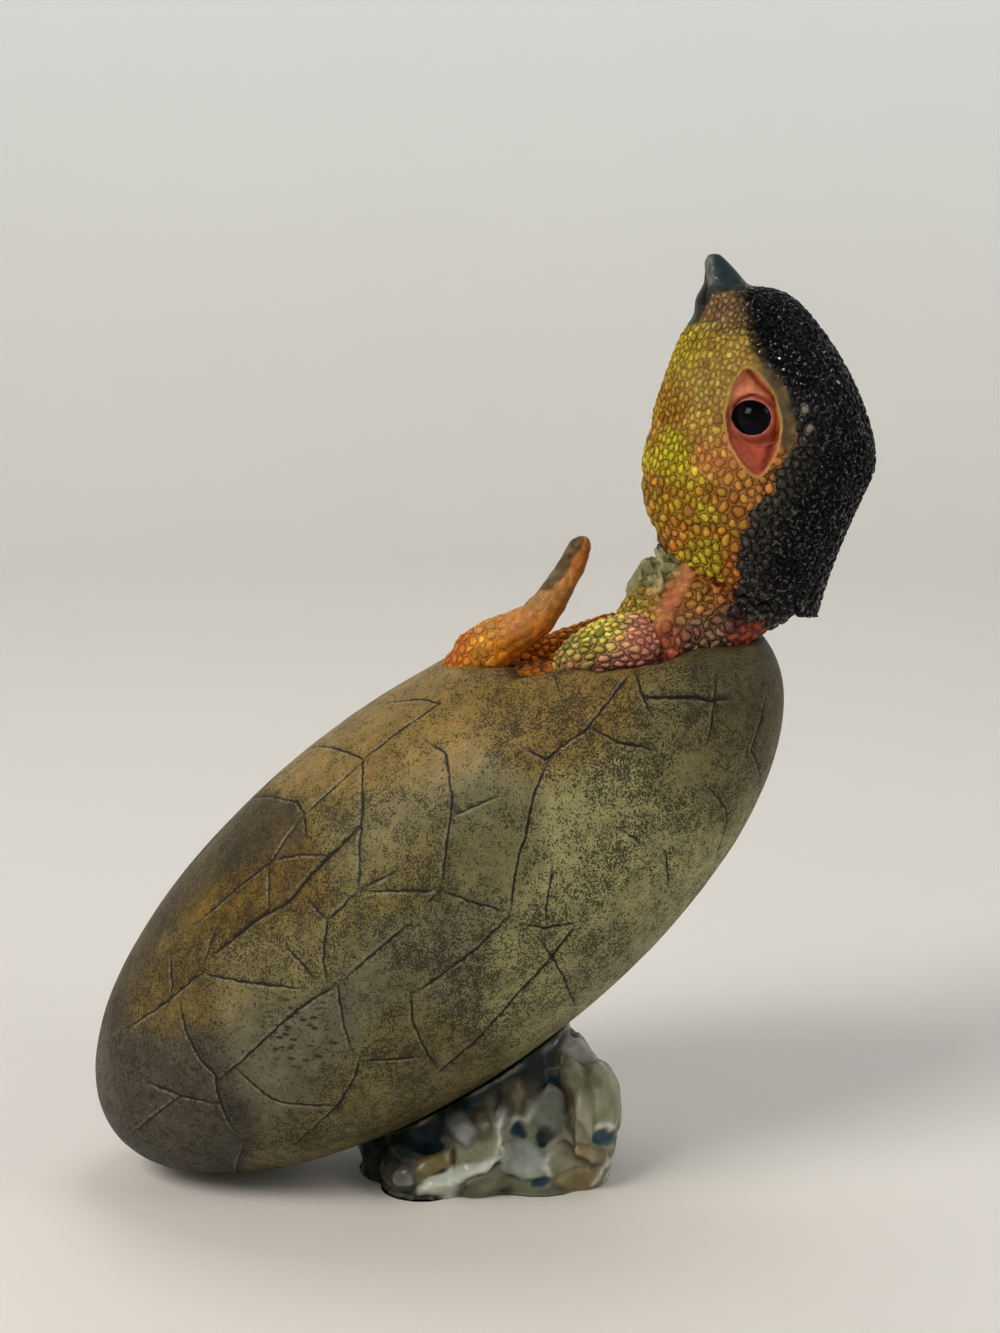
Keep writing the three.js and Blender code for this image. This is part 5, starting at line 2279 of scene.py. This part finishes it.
@dataclass
class Rock(Piece):
    """The water-worn rock under the egg, flat below, in millimetres."""

    node: str = "rock_base"
    name: str = "worn_rock"
    voxel: float = 0.8
    smoothing: int = 8
    wearing: int = 3
    sole: float = 0.25
    stands_from: float = 2.5
    proud_rounds: int = 18
    proud_even: float = 0.46
    proud_gain: float = 0.9
    wander: Span = (5.0, 4.5)
    cling: float = 5.0
    cleft_high: float = 0.35
    cleft: Colour = (0.012, 0.019, 0.021)
    line_reach: float = 3.6
    crest_high: float = 0.35
    crest_colour: Colour = (0.78, 0.78, 0.68)
    crest_share: float = 0.85
    crest_broken: Triple = (0.75, 0.8, 2.2)
    crease_deep: float = 0.5
    crease_colour: Colour = (0.045, 0.04, 0.028)
    crease_share: float = 0.8
    pit_gain: float = 1.5
    covered: float = 0.95
    settled: Span = (0.4, 3.2)
    shade_over: Span = (0.8, 3.0)
    shade_columns: Span = (560.0, 584.0)
    seam_reach: float = 0.3
    seam_deep: float = 0.22
    seam_share: float = 0.45
    seam_from: Span = (0.4, 0.9)
    far_shift: float = 36.0
    far_shift_over: Span = (480.0, 565.0)
    far_shift_deep: float = 6.0

    def build(self) -> None:
        """Casts, sculpts, paints and dresses the rock."""
        piece = cast_from(self.node, self.name, self.voxel)
        surface = Surface(piece)
        surface.relax(self.smoothing)
        surface.write()
        surface.finer()
        self.sculpt(surface)
        self.dress(piece, RockPaint().material(), Slot.ROCK)

    def sculpt(self, surface: Surface) -> None:
        """Wears the rock into lumps, pits, crests and creases, and paints it.

        Args:
            surface: The rock's surface.
        """
        points = surface.points
        pixels = warped(PHOTO.pixels(points), points, *self.wander)
        far = rising(points[:, 1], 0.0, self.far_shift_deep)
        pixels[:, 0] -= self.far_shift * far * rising(pixels[:, 0], *self.far_shift_over)
        domes = np.column_stack([lump.dome(pixels) for lump in ROCK_LUMPS])
        pits = np.column_stack([pit.dome(pixels) for pit in ROCK_PITS])
        crest = bell(to_lines(pixels, ROCK_CRESTS), self.line_reach)
        crease = bell(to_lines(pixels, ROCK_CREASES), self.line_reach)
        broken = patches(points, *self.crest_broken)
        second, top = np.sort(domes, axis=1)[:, -2:].T
        seam = bell(top - second, self.seam_reach) * rising(top, *self.seam_from)
        highest = max(lump.high for lump in ROCK_LUMPS) + self.crest_high
        worn = top + pits.min(axis=1) + self.crest_high * crest - self.crease_deep * crease
        worn -= self.seam_deep * seam
        under = EGG.over(points)
        standing = rising(points[:, 2], self.sole, self.stands_from)
        share = np.column_stack((np.ones(len(points)), np.ones(len(points)), standing))
        share *= rising(under, *self.settled)[:, None]
        surface.points = points + surface.normals * share * (worn - highest)[:, None]
        surface.relax(self.wearing, shrink=True)
        low = surface.points[:, 2] < self.sole
        surface.points[:, 2] = np.where(low, 0.0, surface.points[:, 2])
        surface.write()
        claims = np.exp(self.cling * np.column_stack((domes, np.full(len(points), self.cleft_high))))
        tones = np.array([*(lump.colour for lump in ROCK_LUMPS), self.cleft])
        colours = claims @ tones / claims.sum(axis=1, keepdims=True)
        for pit, depth in zip(ROCK_PITS, pits.T):
            share = np.clip(self.pit_gain * depth / pit.high, 0.0, self.covered)
            colours = mixed(colours, pit.colour, share)
        creased = self.crease_share * np.maximum(crease, self.seam_share * seam)
        colours = mixed(colours, self.crease_colour, creased)
        colours = mixed(colours, self.crest_colour, self.crest_share * crest * broken)
        shaded = falling(under, *self.shade_over) * falling(pixels[:, 0], *self.shade_columns)
        smooth = surface.points
        for _ in range(self.proud_rounds):
            smooth = surface.around(smooth)
        proud = np.sum((surface.points - smooth) * surface.normals, axis=1)
        surface.store(
            paint=mixed(colours, self.cleft, self.covered * shaded),
            proud=np.clip(self.proud_even + self.proud_gain * proud, 0.0, 1.0),
        )


def dress_pins(names: tuple[str, ...]) -> None:
    """Gives the CAD dowels, which keep their own shape, their steel.

    Args:
        names: The dowels' nodes.
    """
    steel = PinSteel().material()
    for name in names:
        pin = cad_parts[name]
        pin.data.materials.clear()
        pin.data.materials.append(steel)
        LOG.info("%s: steel", name)


def main() -> None:
    """Builds the camera, the studio and every piece of the figurine."""
    logging.basicConfig(level=logging.INFO, format="%(message)s")
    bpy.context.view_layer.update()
    PHOTO.build()
    Studio().build()
    Rock().build()
    EggShell().build()
    Neck("hatchling_torso", "neck_skin", NECK_DABS, voxel=0.68, ragged=0.32).build()
    Tail("hatchling_tail", "tail_skin", TAIL_DABS, voxel=0.42, ragged=0.2).build()
    Forearm("left_forearm", "left_arm_skin", LEFT_ARM_DABS, voxel=0.46, stretch=(0.68, 1.0, 1.0), ragged=0.25,
            shoulder_from=21.0, shoulder_full=0.3).build()
    Forearm("right_forearm", "right_arm_skin", RIGHT_ARM_DABS, voxel=0.46, ragged=0.25, wrist_from=16.0,
            wrist_draw=0.9, wrist_lift=-0.2).build()
    Head("hatchling_head", "head_skin", HEAD_DABS, voxel=0.64, stretch=(1.0, 1.0, 0.82)).build()
    EyeBead("left_eye", "left_eye_bead", Side.LEFT).build()
    EyeBead("right_eye", "right_eye_bead", Side.RIGHT).build()
    dress_pins(("seat_dowel_low", "seat_dowel_high", "neck_dowel", "tail_dowel"))


if __name__ == "__main__":
    main()
